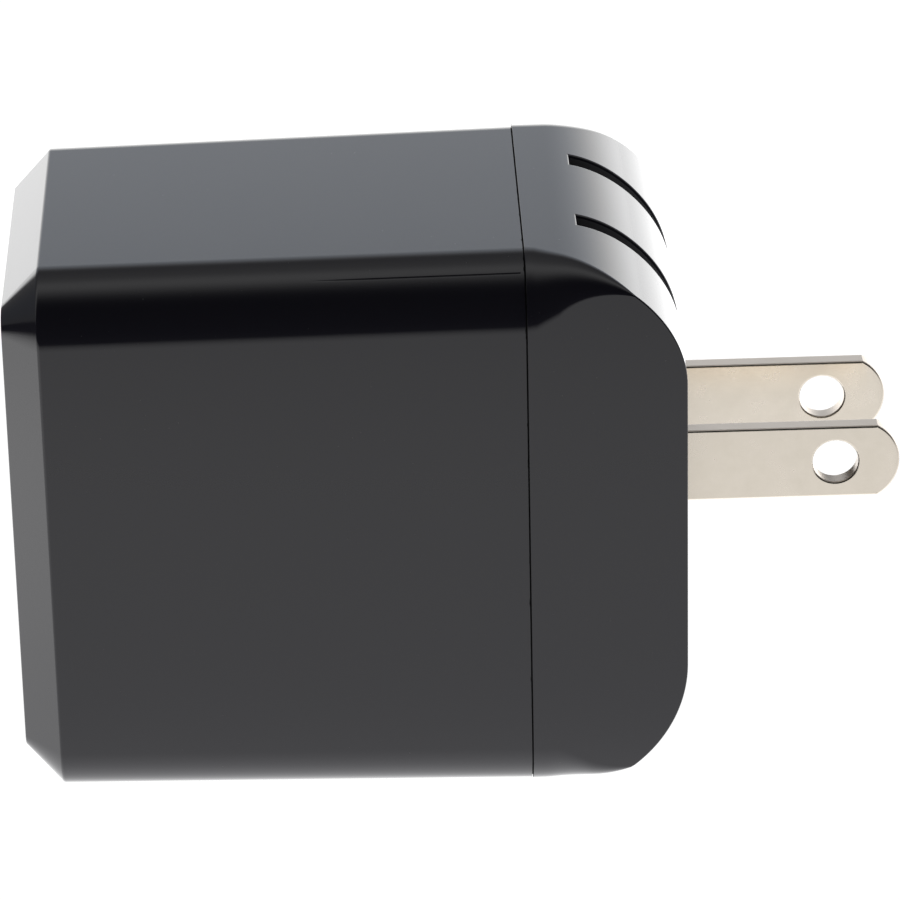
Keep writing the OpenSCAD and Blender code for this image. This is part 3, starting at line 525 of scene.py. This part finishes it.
# %% Seam and lip
ring = np.concatenate([outer[0], outer[-1][::-1]])
ring_n = np.concatenate([outer_n[0], outer_n[-1][::-1]])
gap_deep, lip_outside, lip_inside, lip_x = 0.3, -2.5, -3.4, rim_x - 2.5
meet_x = seam_x + 0.01                             # a hair clear of the housing's end
lip, lip_n = rounded([(rim_x + seam_break, 0), (rim_x, 0), (rim_x, -gap_deep), (meet_x, -gap_deep),
                      (meet_x, lip_outside), (lip_x, lip_outside), (lip_x, lip_inside),
                      (-bottom_r, lip_inside), (-bottom_r, -wall)],
                     [0, 0.02, 0, 0, 0, 0.15, 0.15, 0, 0], 4)
for i in range(len(lip) - 1):
    ends, ends_n = lip[i:i + 2], lip_n[i:i + 2]
    run = ends[1] - ends[0]
    straight_n = turned(run / np.linalg.norm(run))
    if np.abs(ends_n @ straight_n).min() <= 0.9:   # a sharp corner: the stretch faces one way
        ends_n = np.stack([straight_n, straight_n])
    stretch, stretch_n = sweep(ring, ring_n, ends, ends_n, (1, 0, 0))
    skin.grid(stretch, stretch_n, closed=True)
print("seam", round(rim_x - seam_x, 3), "wide,", gap_deep, "deep; lip reaches x", lip_x)

# %% [markdown]
# ## Slots and pockets
#
# Each slot's edge rolls over by a small radius, its walls go straight down, and a pocket inside
# keeps the case closed round it. A boolean cut would leave the rim sharp and its faces ragged. So
# each edge is a quarter circle carried along the grid's own lines, and the four edges slide
# inwards as they roll, which makes them meet in mitres.

# %% A slot's long edge
roll_over = np.radians(np.linspace(0, 90, 5))      # the angles of a rolled edge


def slot_edge(y0, side):
    """One long edge of a slot: a quarter circle that rolls from the belt into the slot's wall. At
    angle a it has moved in by the radius times sin(a) and down by the radius times 1 - cos(a).
    The two end stations slide inwards with it."""
    s = stations[(stations > s_slot - rim_r - near) & (stations < s_slot_end + rim_r + near)]
    slide = rim_r * np.sin(roll_over)[:, None]
    q, m = side_line(np.clip(s[None], s[0] + slide, s[-1] - slide))
    m3, q3, y3 = in_plane(m), in_plane(q), np.array([0, 1.0, 0])
    c, d = np.cos(roll_over)[:, None, None], np.sin(roll_over)[:, None, None]
    y = (y0 + side * (slot_half + rim_r - rim_r * d)) * y3
    drop = rim_r * (1 - c)
    return q3 + y - drop * m3, m3 * c - side * d * y3


print("rim points", slot_edge(blade_y, 1)[0].shape[:2], "radius", rim_r)

# %% Slot walls, slot ends and pockets
def slot_walls(y0):
    """Rolled edge and flat wall on both sides of a slot, and the pocket's outer sides. Each flat
    is the last row of a grid, closed by corners. Returns the two rolled edges."""
    edges = []
    for side in (-1, 1):
        edge, edge_n = slot_edge(y0, side)
        skin.grid(edge, edge_n)
        edges.append(edge)
        y = y0 + side * slot_half
        tail = np.array([(-wall, y, slot_low), (-wall, y, pocket_low), (slot_back, y, pocket_low)])
        skin.flat([np.concatenate([edge[-1], tail])], (0, -side, 0))
        y = y0 + side * (slot_half + pocket)
        run = inner[(inner_s > s_pocket - near) & (inner_s < at_face(pocket_low) + near)]
        column = np.argmin(np.abs(belt_y - y))
        skin.flat([np.concatenate([run[:, column], [(pocket_back, y, pocket_low)]])], (0, side, 0))
    return edges


def slot_end(y0, edges, k):
    """Rolled edge and flat wall at a slot's upper end, where k is 0, or its lower end, where it
    is -1. The roll's direction is cos(a) outwards plus sin(a) into the slot."""
    upper = k == 0
    strip = np.stack([edges[0][:, k], edges[0][:, k], edges[1][:, k], edges[1][:, k]])
    strip[1:3, :, 1] = [[y0 - slot_half], [y0 + slot_half]]
    _, m = side_line(stations[stations > s_slot - near][0] if upper else s_slot_end)
    into = in_plane(turned(m)) * (1 if upper else -1)
    roll_n = np.cos(roll_over)[:, None] * in_plane(m) + np.sin(roll_over)[:, None] * into
    skin.grid(strip, np.stack([roll_n] * 4))
    x, z = (slot_back, pocket_low) if upper else (-wall, slot_low)
    foot = np.array([(x, y0 - slot_half, z), (x, y0 + slot_half, z)])
    skin.grid(np.stack([strip[[0, -1], -1], foot]), (1, 0, 0) if upper else (0, 0, 1))


def pocket_walls(y0):
    """Back of a slot's pocket, and its underside, which is a U round the slot."""
    wide, thin, mid = slot_half + pocket, slot_half, slot_half + rim_r
    in_pocket = np.abs(belt_y - y0) < wide + near
    across = belt_y[in_pocket]
    head = inner[np.argmin(np.abs(inner_s - s_pocket))][in_pocket]
    foot = np.array([(pocket_back, across[-1], pocket_low), (pocket_back, across[0], pocket_low)])
    skin.flat([np.concatenate([head, foot])], (-1, 0, 0))
    under = [(-wall, -wide), (pocket_back, -wide), (pocket_back, wide), (-wall, wide), (-wall, mid),
             (-wall, thin), (slot_back, thin), (slot_back, -thin), (-wall, -thin), (-wall, -mid)]
    skin.flat([np.array([(x, y0 + dy, pocket_low) for x, dy in under])], (0, 0, -1))


belt_y = inner[len(inner_s) // 2, :, 1]
for y0 in (blade_y, -blade_y):
    edges = slot_walls(y0)
    slot_end(y0, edges, 0)
    slot_end(y0, edges, -1)
    pocket_walls(y0)
rear_cover = skin.mesh("cover_shell")
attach(rear_cover, "charger")
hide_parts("rear_cover")

# %% [markdown]
# ## The blades
#
# A blade is stamped from sheet and plated. Its outline is a bent line: a neck that sits in the
# folding carrier, a shoulder, and two straight sides that end in a round tip. It could be an
# extruded curve with a bevel, but the bevel would go round the holes unevenly. So the outline is
# carried through the sheet's thickness with small round edges, the holes are done the same way,
# and the last stretch before the tip is pressed a little thinner on both faces.

# %% Sizes of a blade
blade_len, blade_half = blade_hi[0], (blade_hi[2] - blade_lo[2]) / 2
blade_t = blade_hi[1] - blade_lo[1]
tail_x, neck_half, shoulder_x, tip_r = blade_lo[0], 2.2, -1.3, 3.65
hole_x, hole_r, lock_r, break_r = 12.9, 1.89, 0.9, 0.18
thin_len, thin_by = 1.4, 0.06
print("blade's length, width and thickness", np.array([blade_len - tail_x, 2 * blade_half, blade_t]))

# %% Blade outline
def ring_of(x, r, count=48):
    """Circle in the blade's plane, and the directions to its middle."""
    a = np.linspace(0, 2 * np.pi, count, endpoint=False)
    spoke = np.stack([np.cos(a), 0 * a, np.sin(a)], -1)
    return np.array([x, 0, 0]) + r * spoke, -spoke


def press(points, fold_x):
    """Squeezes the thickness evenly from the fold to the tip, where each face has moved in by
    thin_by."""
    share = np.clip((points[..., 0] - fold_x) / (blade_len - fold_x), 0, 1)
    out = points.copy()
    out[..., 1] *= 1 - share * thin_by / (blade_t / 2)
    return out


def outline():
    """Points and outward directions round a blade: the bent line up to the tip, then an arc whose
    centre is its radius back from the blade's end, then the rest. The arc meets the straight
    sides at an angle, so its two end points are there twice, once with each direction."""
    way = [(tail_x, -neck_half), (shoulder_x, -neck_half), (shoulder_x, -blade_half),
           (blade_len, -blade_half), (blade_len, blade_half), (shoulder_x, blade_half),
           (shoulder_x, neck_half), (tail_x, neck_half)]
    line, normal = rounded(way, [0.6, 0.2, 0.3, 0, 0, 0.3, 0.2, 0.6], 16, closed=True)
    reach_up = np.arcsin(blade_half / tip_r)
    a = np.linspace(-reach_up, reach_up, 41)
    spoke = np.column_stack([np.cos(a), np.sin(a)])
    tip = np.array([blade_len - tip_r, 0]) + tip_r * spoke
    cut = np.argmax(line[:, 0] > blade_len - 0.01)
    line = np.concatenate([line[:cut], tip[:1], tip, tip[-1:], line[cut + 2:]])
    normal = np.concatenate([normal[:cut], [(0, -1)], spoke, [(0, 1)], normal[cut + 2:]])
    return in_plane(line), in_plane(normal)


print("outline points", len(outline()[0]))

# %% Blade mesh
def blade(name, y0):
    """One blade at its place across the case. The outline and the two holes are carried along the
    edge's profile, and each face is two flat sheets that meet at the fold, as the steeper one
    leans by the thinning over its length."""
    skin = Skin()
    loop, loop_n = outline()
    h = blade_t / 2
    bent = [(-h, -0.5), (-h, 0), (h, 0), (h, -0.5)]     # its two ends are cut off again
    edge, edge_n = rounded(bent, [0, break_r, break_r, 0], 5)
    edge, edge_n = edge[1:-1], -edge_n[1:-1]
    shift = np.array([0, y0, 0])
    points, normals = sweep(loop, loop_n, edge, edge_n, (0, 1, 0))
    ahead = points[-1][:, 0] > blade_len - thin_len
    fold_x = points[-1][~ahead][:, 0].max()
    first, last = np.argmax(ahead), len(ahead) - np.argmax(ahead[::-1])
    skin.grid(press(points, fold_x) + shift, normals, closed=True)
    for row, side in ((0, -1), (-1, 1)):
        face = points[row]
        holes = []
        for x, r in ((hole_x, hole_r), (pivot_x, lock_r)):
            circle, inward = ring_of(x, r)
            through, through_n = sweep(circle, inward, edge, edge_n, (0, 1, 0))
            if side == -1:
                skin.grid(through + shift, through_n, closed=True)
            holes.append(through[row] + shift)
        body = np.concatenate([face[last:], face[:first]])
        body[[0, -1], 0] = fold_x
        skin.flat([press(body, fold_x) + shift] + holes, (0, side, 0))
        tip = face[first - 1:last + 1]
        skin.flat([press(tip, fold_x) + shift], (thin_by / thin_len, side, 0))
    piece = skin.mesh(name)
    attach(piece, "folding_blades")
    return piece


near_blade = blade("near_blade", blade_y)
far_blade = blade("far_blade", -blade_y)
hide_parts("blade_left")
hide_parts("blade_right")

# %% [markdown]
# ## Shader maths as Python
#
# A finish is a small graph of nodes. It could be wired by hand, link by link, but operators keep
# it readable: `Value` wraps a socket, and adding or multiplying two of them adds the Math node
# that does it.

# %% A socket with operators
class Value:
    """A node's output, or the place in a node tree where one is made."""

    def __init__(self, tree, socket=None):
        self.tree, self.socket = tree, socket

    def node(self, kind, settings=None, out=0, **inputs):
        """Adds a node of this kind, with its settings first, then its sockets' values or links. A
        socket goes by its name with _ for a space, or by its number as _0, _1 and so on."""
        made = self.tree.nodes.new(kind)
        for key, value in (settings or {}).items():
            setattr(made, key, value)
        for key, value in inputs.items():
            name = key[1:] if key[0] == "_" else key.replace("_", " ")
            socket = made.inputs[int(name)] if name.isdigit() else made.inputs[name]
            if isinstance(value, Value):
                self.tree.links.new(value.socket, socket)
            else:
                socket.default_value = value
        return Value(self.tree, made.outputs[out])

    def math(self, operation, *values):
        """A Math node that does this operation on the values."""
        sockets = {f"_{i}": v for i, v in enumerate(values)}
        return self.node("ShaderNodeMath", {"operation": operation}, **sockets)

    def __add__(self, other):
        return self.math("ADD", self, other)

    def __radd__(self, other):
        return self.math("ADD", other, self)

    def __sub__(self, other):
        return self.math("SUBTRACT", self, other)

    def __rsub__(self, other):
        return self.math("SUBTRACT", other, self)

    def __mul__(self, other):
        return self.math("MULTIPLY", self, other)

    def __rmul__(self, other):
        return self.math("MULTIPLY", other, self)

    def __truediv__(self, other):
        return self.math("DIVIDE", self, other)

    def __pow__(self, other):
        return self.math("POWER", self, other)

    def step(self, low, high):
        """Smooth step from 0 to 1 as the value goes from low to high."""
        return self.node("ShaderNodeMapRange", {"interpolation_type": "SMOOTHSTEP"},
                         Value=self, From_Min=low, From_Max=high)


print("a value takes the operators + - * / **")

# %% Shader helpers
def finish(name):
    """A new material, its shader, and the place where its graph is made."""
    material = bpy.data.materials.new(name)
    material.use_nodes = True
    tree = material.node_tree
    shader = tree.nodes["Principled BSDF"]
    return material, shader, Value(tree)


def blend(g, mask, first, second):
    """The first colour where the mask is 0 and the second where it is 1."""
    return g.node("ShaderNodeMix", {"data_type": "RGBA"}, out=2, _0=mask, _6=first, _7=second)


def noise(g, at, scale, detail=3.0, rough=0.5):
    """Soft random variation about 0.5, with scale bumps to the metre."""
    return g.node("ShaderNodeTexNoise", Vector=at, Scale=scale, Detail=detail, Roughness=rough)


def plug_in(g, shader, **inputs):
    """Sets constants on the shader, or links graphs to it."""
    for key, value in inputs.items():
        socket = shader.inputs[key.replace("_", " ")]
        if isinstance(value, Value):
            g.tree.links.new(value.socket, socket)
        else:
            socket.default_value = value


def object_place(g):
    """The place on the piece, in metres, in the frame that every piece shares."""
    return g.node("ShaderNodeTexCoord", out=3)


def split(g, vector):
    """The three numbers of a vector."""
    separate = g.node("ShaderNodeSeparateXYZ", Vector=vector).socket.node
    return [Value(g.tree, socket) for socket in separate.outputs]


def bump(g, strength, distance, height):
    """Relief of this depth in metres, for a shader's Normal."""
    return g.node("ShaderNodeBump", Strength=strength, Distance=distance, Height=height)


def grey(level):
    """An even grey, from black at 0 to white at 1."""
    return (level, level, level, 1.0)


def dress(pieces, material):
    """Gives new pieces their finish."""
    for piece in pieces:
        piece.data.materials.append(material)
        print(piece.name, "wears", material.name, "of", len(material.node_tree.nodes), "nodes")

# %% [markdown]
# ## Case plastic
#
# The case is black plastic from a polished mould. Plain black with an even gloss would look like
# glass, so a large soft noise drifts in the roughness, a fine one ripples the surface, and a few
# specks of dust are left on it. Two places differ, and both are painted light. The gap of the seam
# is painted near black and rough, a painted shade for the dark recess between the halves, with a
# burr here and there at its edge. The walls of the slots are painted a lighter grey than the black
# case and made duller, a painted light that stands in for the light seen inside the slots. Both
# are masks made from the place on the piece.

# %% Case plastic
black, dust_grey = (0.0127, 0.0122, 0.0178, 1.0), grey(0.06)
# painted light for the slot walls, and painted shade for the seam's gap
painted_slot_light, painted_gap_shade = (0.21, 0.21, 0.22, 1.0), grey(0.003)
hair = 0.01                                        # the masks' soft borders, in millimetres
case_plastic, shader, g = finish("case_plastic")
at = object_place(g)
drift = noise(g, at, 120.0)
ripple = noise(g, at, 2600.0, 2.0)
dust = noise(g, at, 4200.0, 1.0).step(0.79, 0.82)
burr = noise(g, at, 1500.0, 2.0).step(0.56, 0.75) * 0.07
x, y, z = (v * 1000 for v in split(g, at))
# painted shade: the seam's gap is made near black and rough, where the recess between the halves lies in
# shade
seam_shade_mask = (x - (seam_x - hair / 2) + burr).step(0, hair) * (rim_x + hair / 2 - x).step(0, hair)
from_middle = g.math("ABSOLUTE", g.math("ABSOLUTE", y) + blade_y)
# painted light: the slot walls get a lighter grey than the black case, standing in for the light seen inside
# the slots
slot_wall_light_mask = (x - slot_back + hair).step(0, hair) * (z - slot_low + hair).step(0, hair)
slot_wall_light_mask = slot_wall_light_mask * (slot_half + hair - from_middle).step(0, 2 * hair)
colour = blend(g, slot_wall_light_mask, blend(g, dust * 0.5, black, dust_grey), painted_slot_light)
plug_in(g, shader, IOR=1.5, Base_Color=blend(g, seam_shade_mask, colour, painted_gap_shade),
        Roughness=0.075 + drift * 0.05 + dust * 0.2 + seam_shade_mask * 0.8 + slot_wall_light_mask * 0.4,
        Normal=bump(g, 0.06, 0.00002, ripple))
dress((main_housing, rear_cover), case_plastic)

# %% [markdown]
# ## Nickel plating
#
# The plating is a warm grey metal, bright on the rolled faces and darker and rougher on the edges
# that the stamp sheared. An attribute could mark the edges, but how far a point is below the
# sheet's face tells them apart as well, so one formula makes the mask. Blotches vary the colour
# and the gloss together, and a fine grain runs along the blade.

# %% Blade plating
face_dark, face_light = (0.57, 0.52, 0.445, 1.0), (0.72, 0.66, 0.58, 1.0)
sheared = (0.49, 0.44, 0.385, 1.0)
nickel, shader, g = finish("nickel_plate")
at = object_place(g)
blotch = noise(g, at, 420.0, 4.0, 0.6)
grain = noise(g, g.node("ShaderNodeMapping", Vector=at, Scale=(1.0, 1.0, 6.0)), 1500.0, 3.0)
_, y, _ = split(g, at)
below_face = blade_t / 2 - g.math("ABSOLUTE", g.math("ABSOLUTE", y) * 1000 - abs(blade_y))
edge_mask = below_face.step(0.03, 0.12)
plug_in(g, shader, Metallic=1.0,
        Base_Color=blend(g, edge_mask, blend(g, blotch, face_dark, face_light), sheared),
        Roughness=0.2 + blotch * 0.12 + edge_mask * 0.1, Normal=bump(g, 0.03, 0.00001, grain))
dress((near_blade, far_blade), nickel)

# %% [markdown]
# ## Finishes of the parts inside
#
# The parts inside keep their own shapes. Each could have a graph of its own, but they differ only
# in a few values, so each finish is a row: its kind of surface, a lighter and a darker colour, a
# roughness and the fineness of its mottling. A soft noise drifts between the two colours, a fine
# one breaks up the gloss, metals get a brushed grain, and the boards show the glass cloth's weave.

# %% Table of finishes
inside = {                       # kind, lighter colour, darker colour, roughness, noise scale
    "carrier": ("plastic", (0.035, 0.035, 0.038), (0.02, 0.02, 0.022), 0.38, 500),
    "retainer": ("plastic", (0.045, 0.045, 0.05), (0.028, 0.028, 0.03), 0.42, 500),
    "screw": ("metal", (0.62, 0.60, 0.56), (0.45, 0.44, 0.42), 0.28, 1800),
    "detent": ("metal", (0.70, 0.70, 0.70), (0.52, 0.52, 0.53), 0.22, 900),
    "contact": ("metal", (0.86, 0.66, 0.36), (0.66, 0.46, 0.22), 0.27, 900),
    "wire_dark": ("plastic", (0.03, 0.03, 0.032), (0.015, 0.015, 0.016), 0.45, 700),
    "wire_light": ("plastic", (0.78, 0.77, 0.73), (0.62, 0.61, 0.57), 0.45, 700),
    "board": ("weave", (0.028, 0.15, 0.05), (0.014, 0.085, 0.03), 0.33, 600),
    "gold_pin": ("metal", (0.95, 0.72, 0.32), (0.80, 0.55, 0.20), 0.2, 1500),
    "port_shell": ("metal", (0.78, 0.77, 0.74), (0.60, 0.59, 0.57), 0.25, 900),
    "port_tongue": ("plastic", (0.82, 0.81, 0.78), (0.68, 0.67, 0.64), 0.4, 700),
    "ferrite": ("plastic", (0.075, 0.07, 0.068), (0.04, 0.037, 0.036), 0.62, 1400),
    "bobbin": ("plastic", (0.05, 0.05, 0.05), (0.03, 0.03, 0.03), 0.4, 600),
    "copper": ("metal", (0.88, 0.42, 0.22), (0.66, 0.26, 0.12), 0.3, 1600),
    "tape": ("plastic", (0.72, 0.52, 0.09), (0.55, 0.36, 0.05), 0.35, 350),
    "bulk_can": ("plastic", (0.03, 0.035, 0.05), (0.016, 0.02, 0.032), 0.3, 400),
    "output_can": ("metal", (0.75, 0.75, 0.76), (0.55, 0.55, 0.57), 0.3, 700),
    "resistor_body": ("plastic", (0.10, 0.24, 0.30), (0.06, 0.16, 0.21), 0.4, 900),
    "surge_coat": ("plastic", (0.10, 0.18, 0.45), (0.06, 0.11, 0.32), 0.35, 900),
    "safety_coat": ("plastic", (0.12, 0.26, 0.55), (0.08, 0.18, 0.42), 0.32, 900),
    "coil_dark": ("plastic", (0.04, 0.04, 0.042), (0.022, 0.022, 0.024), 0.5, 1100),
    "coil_copper": ("metal", (0.80, 0.36, 0.18), (0.55, 0.20, 0.09), 0.34, 1600),
    "chip_body": ("plastic", (0.035, 0.035, 0.037), (0.022, 0.022, 0.023), 0.5, 1500),
    "chip_capacitor": ("plastic", (0.48, 0.35, 0.22), (0.36, 0.25, 0.15), 0.4, 1500),
    "heat_plate": ("metal", (0.76, 0.76, 0.77), (0.58, 0.58, 0.60), 0.36, 600),
    "film": ("plastic", (0.80, 0.79, 0.74), (0.66, 0.64, 0.58), 0.3, 300),
}
print("rows", len(inside), "metals", sum(row[0] == "metal" for row in inside.values()))

# %% Making and assigning the finishes
def inside_finish(name, kind, light, dark, rough, scale):
    """A finish from its row. The weave is the product of two sines, one along each thread."""
    threads = 9000                                 # radians to the metre
    material, shader, g = finish(name)
    at = object_place(g)
    drift = noise(g, at, scale * 0.6, 4.0).step(0.3, 0.7)
    speck = noise(g, at, scale * 6.0, 2.0)
    relief = speck
    if kind == "metal":
        brushed = g.node("ShaderNodeMapping", Vector=at, Scale=(0.15, 1.0, 1.0))
        relief = noise(g, brushed, scale * 5.0, 2.0)
    if kind == "weave":
        x, y, _ = split(g, at)
        weave = g.math("SINE", x * threads) * g.math("SINE", y * threads)
        drift = (drift + weave * 0.25 + 0.1) * 0.8
    plug_in(g, shader, Metallic=1.0 if kind == "metal" else 0.0,
            Base_Color=blend(g, drift, (*dark, 1.0), (*light, 1.0)),
            Roughness=rough - 0.06 + drift * 0.08 + speck * 0.08,
            Normal=bump(g, 0.12, 0.00003, relief))
    return material


made = {"case": case_plastic, "blade_plate": nickel}
for slot, row in inside.items():
    made[slot] = inside_finish(slot + "_finish", *row)
dressed = {}
for name, node in frame["nodes"].items():
    for k, old in enumerate(node.data.materials):
        slot = old.name.split(".")[0]
        if slot in made:
            node.data.materials[k] = made[slot]
            dressed[slot] = dressed.get(slot, 0) + 1
        else:
            print("no finish for", name, slot)
print("finishes", len(made), "parts dressed", sum(dressed.values()))
print("unused", sorted(set(made) - set(dressed)))

# %% [markdown]
# ## The floor
#
# The charger lies on a white sweep. Gloss shows what stands around it, so the floor's light is
# what the near face, the far face and the plug's lower corner look like. Lamps would put hard
# spots on the gloss, so the floor itself glows: brightest in a narrow band along the case's foot,
# fading away to the front and the left, and bright behind the case, except far round to its left.
# Straight to the camera it is plain white, as in a shadowless studio.

# %% Floor
case_front, case_left = 0.0173, 0.055              # how far the case reaches, in metres
white_seen, brightest = 1.03, 4.0                  # strength straight to the camera, and the most


def past_left(slant):
    """How much of the back light is left towards the left, by the slant away from straight back:
    it dims a little, and then it ends."""
    return (1 - slant.step(0.6, 0.85)) * (1 - slant.step(0.2, 0.45) * 0.13)


reach_m, floor_z = 3.0, cad_box[0][2] - 0.00002    # half its width, and a hair below the case
mesh = bpy.data.meshes.new("floor")
square = [(sx * reach_m, sy * reach_m, floor_z) for sx, sy in ((-1, -1), (1, -1), (1, 1), (-1, 1))]
mesh.from_pydata(square, [], [(0, 1, 2, 3)])
floor = bpy.data.objects.new("floor", mesh)
bpy.context.scene.collection.objects.link(floor)
floor_white, shader, g = finish("floor_white")
x, y, _ = split(g, object_place(g))
front_d = g.math("MAXIMUM", 0 - y - case_front, 0.0)
left_d = g.math("MAXIMUM", 0 - x - case_left, 0.0)
foot = g.math("EXPONENT", 0 - front_d / 0.010) * 0.32 + g.math("EXPONENT", 0 - front_d / 0.004) * 0.34
reach_front = 1 - front_d.step(0.045, 0.255)
reach_left = 1 - left_d.step(0.06, 0.3)
lit = (1.06 + foot + left_d.step(0.0, 0.06) * 0.3) * reach_front * reach_left
behind = y.step(0.0, 0.12)
slant = (0 - x - case_left) / (g.math("MAXIMUM", y, 0.0) + 0.02)
lit = lit * (1 - behind) + behind * past_left(slant) * 2.65
camera_ray = g.node("ShaderNodeLightPath", out=0)
glow = lit * (1 - camera_ray) + camera_ray * white_seen
plug_in(g, shader, Base_Color=grey(0.06), Roughness=1.0, Specular_IOR_Level=0.0,
        Emission_Strength=brightest,
        Emission_Color=blend(g, glow / brightest, grey(0.0), grey(1.0)))
dress([floor], floor_white)

# %% [markdown]
# ## The surroundings
#
# What stands round the charger is laid out by direction, as angles over it from the front horizon
# to the back one. A soft strip overhead draws a line along the near round edge. It is dark
# between that and the back, and then a wall brightens down to the horizon and below it, which
# fills the top face, the plug corner and the bevel. A studio would have a softbox and a white
# wall there, and these bands are their shapes without their hard edges.

# %% Surroundings
strip_at, strip_wide, strip_light = 96, 19, 0.85   # angles are in degrees
cool_tint = (0.94, 1.0, 1.09, 1.0)
world = bpy.data.worlds.new("studio")
world.use_nodes = True
bpy.context.scene.world = world
w = Value(world.node_tree)
dx, dy, dz = split(w, w.node("ShaderNodeTexCoord", out=0))
up = w.math("ARCTAN2", dz, 0 - dy) * (180 / np.pi)
strip = w.math("EXPONENT", 0 - ((up - strip_at) / strip_wide) ** 2.0) * strip_light
over = up.step(105, 125) * 0.22
back = up.step(134, 152) * 0.64 + up.step(151, 179) * 2.05 + (0 - up).step(150, 170) * 2.75
slant = (0 - dx) / (w.math("MAXIMUM", dy, 0.0) + 0.001)
sky = strip + over + back * past_left(slant) + 0.015
camera_ray = w.node("ShaderNodeLightPath", out=0)
level = sky * (1 - camera_ray) + camera_ray * 1.05
cool = up.step(134, 150) * (1 - up.step(155, 168)) * (1 - camera_ray)
background = world.node_tree.nodes["Background"]
plug_in(w, background, Color=blend(w, cool, grey(1.0), cool_tint), Strength=level)
print("surroundings nodes", len(world.node_tree.nodes))

# %% [markdown]
# ## The camera
#
# A long lens from a little above the near side keeps the case's edges almost parallel. The
# camera's axes are worked out from three angles, and its matrix is written down from them, which
# leaves no doubt about the order of turns that rotation fields would bring.

# %% Camera
camera = bpy.data.objects.new("camera", bpy.data.cameras.new("camera"))
bpy.context.scene.collection.objects.link(camera)
bpy.context.scene.camera = camera
camera.data.lens, camera.data.sensor_width = 215.5, 36.0
camera.data.clip_start, camera.data.clip_end = 0.01, 20.0
azimuth, elevation, roll = np.radians([-1.062, 25.649, -1.257])
level_back = np.array([np.sin(azimuth), -np.cos(azimuth), 0])
back_way = level_back * np.cos(elevation) + np.array([0, 0, np.sin(elevation)])
right_way = np.array([np.cos(azimuth), np.sin(azimuth), 0])
up_way = np.cross(back_way, right_way)
c, s = np.cos(roll), np.sin(roll)
right_way, up_way = c * right_way + s * up_way, -s * right_way + c * up_way
stand = np.array([-26.3534, -406.9579, 194.1678])
columns = np.column_stack([right_way, up_way, back_way, stand / 1000])
camera.matrix_world = Matrix([*columns.tolist(), [0, 0, 0, 1]])
bpy.context.scene.view_settings.view_transform = "Standard"
print("camera stands at", stand, "mm, with a lens of", camera.data.lens, "mm")
